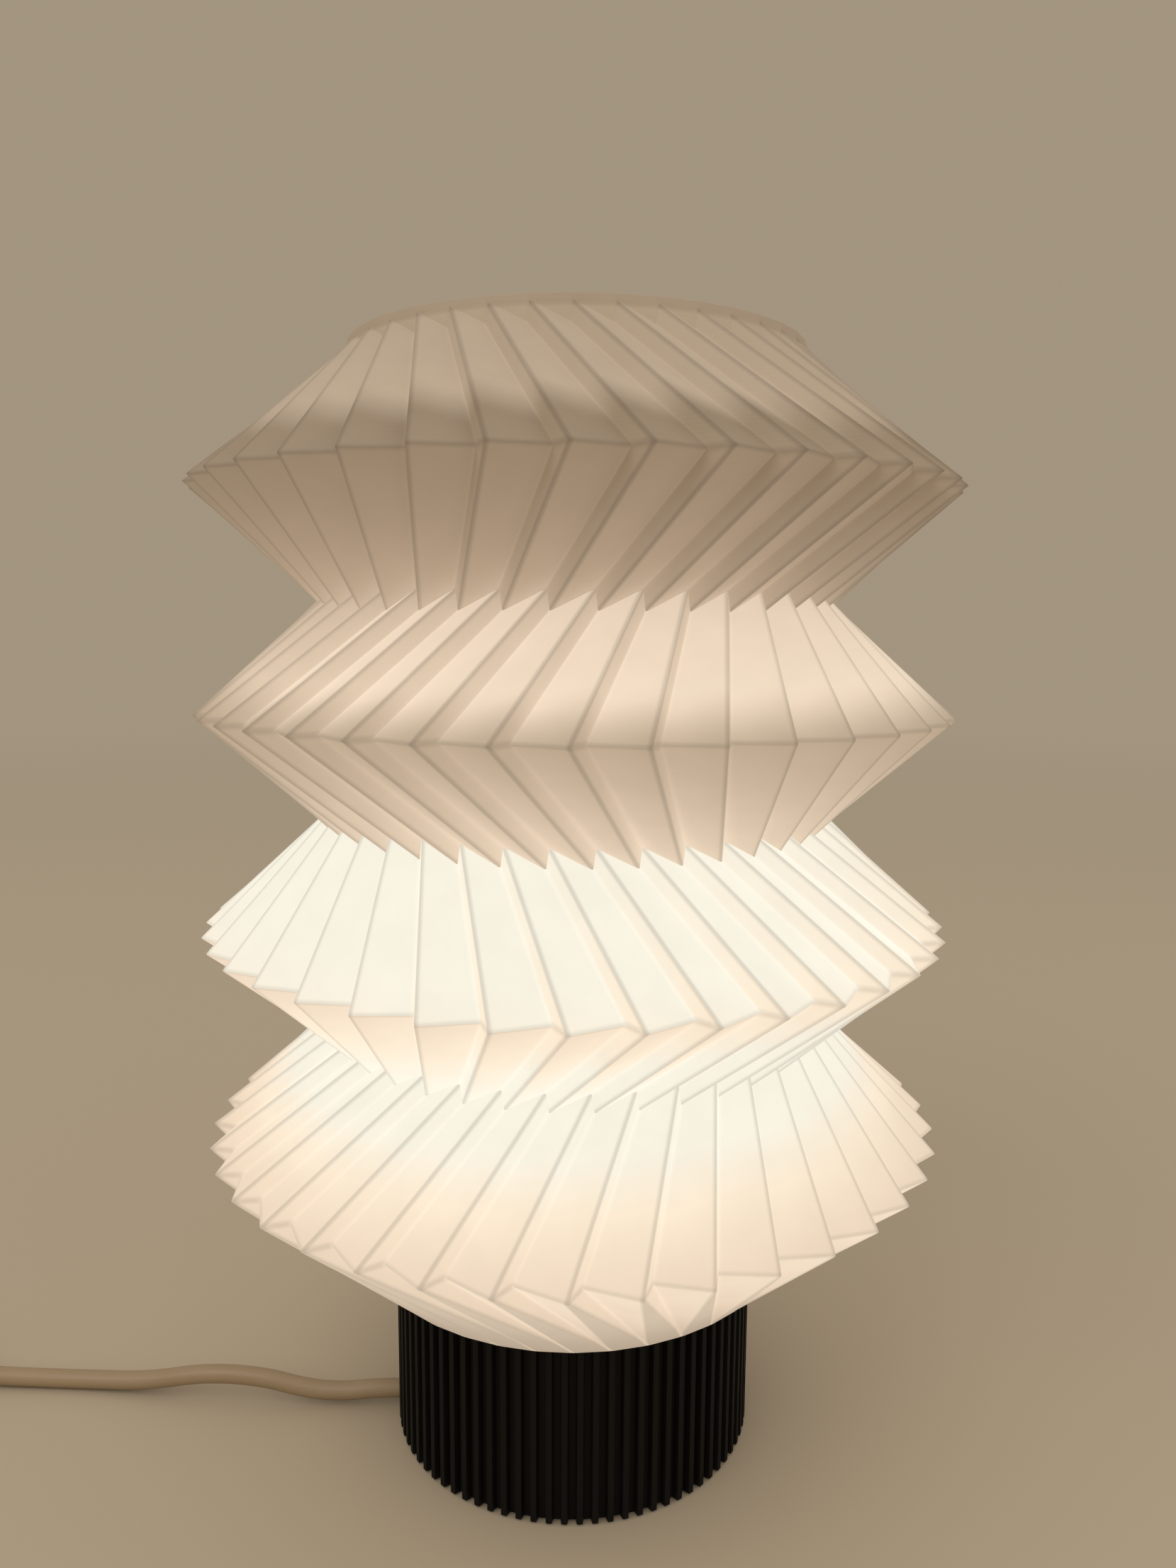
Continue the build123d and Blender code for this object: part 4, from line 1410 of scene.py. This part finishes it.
@dataclass
class CadFinishes:
    """Finishes of the nodes whose CAD shape is kept."""

    def build(self) -> None:
        """Dresses each kept node."""
        finishes = {
            "base_shell": BLACK_PRINT,
            "base_bottom_plate": BLACK_PRINT,
            "bottom_plate_screws": ZINC,
            "anti_slip_ring": PAD_RUBBER,
            "cord_bushing": PAD_RUBBER,
            "cord_clamp_bar": BLACK_HOLDER,
            "cord_clamp_screws": ZINC,
            "holder_cap": BLACK_HOLDER,
            "holder_skirt": BLACK_HOLDER,
            "holder_upper_ring": BLACK_HOLDER,
            "holder_lower_ring": BLACK_HOLDER,
            "holder_insulator": CERAMIC,
            "holder_screw_shell": BRASS,
            "holder_centre_contact": BRASS,
            "holder_terminals": BRASS,
            "holder_terminal_screws": ZINC,
            "bulb_centre_contact": BRASS,
            "bulb_cap_insulator": BULB_INSULATOR,
            "bulb_screw_cap": BULB_CAP,
            "bulb_housing": BULB_HOUSING,
            "bulb_driver_board": BOARD,
            "bulb_led_board": LED_BOARD,
            "bulb_diffuser": OPAL,
            "switch_bottom_half": SWITCH_ABS,
            "switch_top_half": SWITCH_ABS,
            "switch_rocker": SWITCH_ABS,
            "switch_screws": ZINC,
            "switch_contacts": BRASS,
            "coil_tie": TIE_NYLON,
            "plug_strain_relief": CORD_PVC,
            "plug_body": SWITCH_ABS,
            "plug_pins": PIN_METAL,
            "plug_pin_sleeves": SLEEVE,
        }
        for node, finish in finishes.items():
            dress(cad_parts[node], finish)


@dataclass
class Studio:
    """The pale floor, the soft lights and the camera.

    Attributes:
        floor_colour: sRGB hex colour of the floor and of what lies behind it.
        floor_radius: Radius of the floor.
        fade_from: Distance from the lamp at which the floor starts to fade.
        fade_to: Distance at which it shows the background's colour alone.
        distant_level: How bright the far floor and the background show, to match the near floor.
        room_colour: sRGB hex colour of the room's even light.
        room_level: How strong that light is.
        light_colour: sRGB hex colour of the soft lights.
        aim: The place that the soft lights point at.
        camera_place: Where the camera stands.
        heading: How far the camera turns to the right of straight ahead, in degrees.
        pitch: How far it looks down, in degrees.
        roll: How far it leans to the left, in degrees.
        focal_pixels: Focal length in pixels of the photograph.
    """

    floor_colour: str = "#b0a18a"
    floor_radius: float = 6.0
    fade_from: float = 0.5
    fade_to: float = 2.5
    distant_level: float = 0.84
    room_colour: str = "#fffcf8"
    room_level: float = 0.72
    light_colour: str = "#fffaf4"
    aim: Point = (0.0, 0.0, 0.15)
    camera_place: Point = (0.0, -0.31837, 0.22971)
    heading: float = 0.6299
    pitch: float = 8.0432
    roll: float = 0.3521
    focal_pixels: float = 1637.25

    def build(self) -> None:
        """Sets up everything that isn't the lamp."""
        self.add_floor()
        self.add_world()
        self.add_soft_light("key", (-0.9, -1.1, 1.5), size=1.6, power=11.0)
        self.add_soft_light("fill", (1.3, -0.9, 0.9), size=1.8, power=5.0)
        self.add_camera()
        bpy.context.scene.view_settings.view_transform = "Standard"

    def add_floor(self) -> None:
        """Adds a wide round floor that fades into the colour behind it."""
        bpy.ops.object.select_all(action="DESELECT")
        bpy.ops.mesh.primitive_circle_add(
            vertices=96, radius=self.floor_radius, fill_type="NGON"
        )
        floor = bpy.context.object
        floor.name = "floor"
        material = bpy.data.materials.new("pale_floor_paper")
        material.use_nodes = True
        tree = material.node_tree
        tree.nodes.clear()
        place = add_node(tree, "ShaderNodeTexCoord")
        reach = add_node(
            tree, "ShaderNodeVectorMath", {0: place.outputs["Object"]}, operation="LENGTH"
        )
        fade = add_node(
            tree,
            "ShaderNodeMapRange",
            {0: reach.outputs["Value"], 1: self.fade_from, 2: self.fade_to, 3: 0.0, 4: 1.0},
            interpolation_type="SMOOTHSTEP",
        )
        seen = add_node(
            tree,
            "ShaderNodeMath",
            {0: fade.outputs[0], 1: self.looked_at(tree)},
            operation="MULTIPLY",
        )
        paper = add_node(tree, "ShaderNodeBsdfDiffuse", {"Color": linear(self.floor_colour)})
        beyond = add_node(
            tree,
            "ShaderNodeEmission",
            {"Color": linear(self.floor_colour), "Strength": self.distant_level},
        )
        mixed = add_node(
            tree,
            "ShaderNodeMixShader",
            {0: seen.outputs[0], 1: paper.outputs[0], 2: beyond.outputs[0]},
        )
        add_node(tree, "ShaderNodeOutputMaterial", {"Surface": mixed.outputs[0]})
        floor.data.materials.append(material)
        floor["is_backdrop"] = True

    def add_world(self) -> None:
        """Adds an even light from all round, which the camera sees as the floor's colour."""
        world = bpy.data.worlds.new("studio")
        bpy.context.scene.world = world
        world.use_nodes = True
        tree = world.node_tree
        tree.nodes.clear()
        light = add_node(
            tree,
            "ShaderNodeBackground",
            {"Color": linear(self.room_colour), "Strength": self.room_level},
        )
        seen = add_node(
            tree,
            "ShaderNodeBackground",
            {"Color": linear(self.floor_colour), "Strength": self.distant_level},
        )
        mixed = add_node(
            tree,
            "ShaderNodeMixShader",
            {0: self.looked_at(tree), 1: light.outputs[0], 2: seen.outputs[0]},
        )
        add_node(tree, "ShaderNodeOutputWorld", {"Surface": mixed.outputs[0]})

    def looked_at(self, tree: NodeTree) -> NodeSocket:
        """Tells what is seen, straight on, mirrored or through glass, from what only lights.

        Args:
            tree: The floor's or the world's node tree.

        Returns:
            1 for a ray that shows the background, and 0 for any other.
        """
        ray = add_node(tree, "ShaderNodeLightPath")
        mirrored = add_node(
            tree,
            "ShaderNodeMath",
            {0: ray.outputs["Is Camera Ray"], 1: ray.outputs["Is Glossy Ray"]},
            operation="MAXIMUM",
        )
        shown = add_node(
            tree,
            "ShaderNodeMath",
            {0: mirrored.outputs[0], 1: ray.outputs["Is Transmission Ray"]},
            operation="MAXIMUM",
        )
        return shown.outputs[0]

    def add_soft_light(self, name: str, place: Point, size: float, power: float) -> None:
        """Adds a square soft light that points at the lamp.

        Args:
            name: The light's name.
            place: Where it stands.
            size: Length of its side.
            power: Its power in watts.
        """
        light = bpy.data.lights.new(name, "AREA")
        light.size = size
        light.energy = power
        light.color = linear(self.light_colour)[:3]
        stand = bpy.data.objects.new(name, light)
        bpy.context.scene.collection.objects.link(stand)
        aim = Vector(self.aim) - Vector(place)
        turn = aim.to_track_quat("-Z", "Y").to_matrix().to_4x4()
        stand.matrix_world = Matrix.Translation(place) @ turn

    def add_camera(self) -> None:
        """Adds the camera that the photograph was taken with, as solved from it."""
        heading, pitch, roll = (math.radians(a) for a in (self.heading, self.pitch, self.roll))
        ahead = Vector((math.sin(heading), math.cos(heading), 0.0))
        forward = ahead * math.cos(pitch) - Vector((0.0, 0.0, math.sin(pitch)))
        right = Vector((math.cos(heading), -math.sin(heading), 0.0))
        upward = right.cross(forward)
        leant_right = right * math.cos(roll) + upward * math.sin(roll)
        leant_up = upward * math.cos(roll) - right * math.sin(roll)
        lens = bpy.data.cameras.new("camera")
        lens.sensor_fit = "HORIZONTAL"
        lens.sensor_width = 36.0
        lens.lens = self.focal_pixels * lens.sensor_width / PHOTO_WIDTH
        lens.clip_start = 0.01
        stand = bpy.data.objects.new("camera", lens)
        bpy.context.scene.collection.objects.link(stand)
        axes = Matrix((leant_right, leant_up, -forward)).transposed()
        stand.matrix_world = Matrix.Translation(self.camera_place) @ axes.to_4x4()
        bpy.context.scene.camera = stand


def corners() -> list[list[float]]:
    """The model's lowest and highest corner as plain numbers."""
    return [[float(x) for x in corner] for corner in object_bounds()]


def main() -> None:
    """Builds the lamp's looks, sub-assembly by sub-assembly, then the studio."""
    logging.basicConfig(level=logging.INFO, format="%(name)s: %(message)s")
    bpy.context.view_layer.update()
    for wire in InnerWiring().build():
        LOG.info("wiring %s: %d faces", wire.name, len(wire.data.polygons))
    for cord in SupplyCord().build():
        LOG.info("cord %s", cord.name)
    shade = Shade().build()
    LOG.info("shade %s: %d faces", shade.name, len(shade.data.polygons))
    CadFinishes().build()
    Studio().build()


if __name__ == "__main__":
    main()
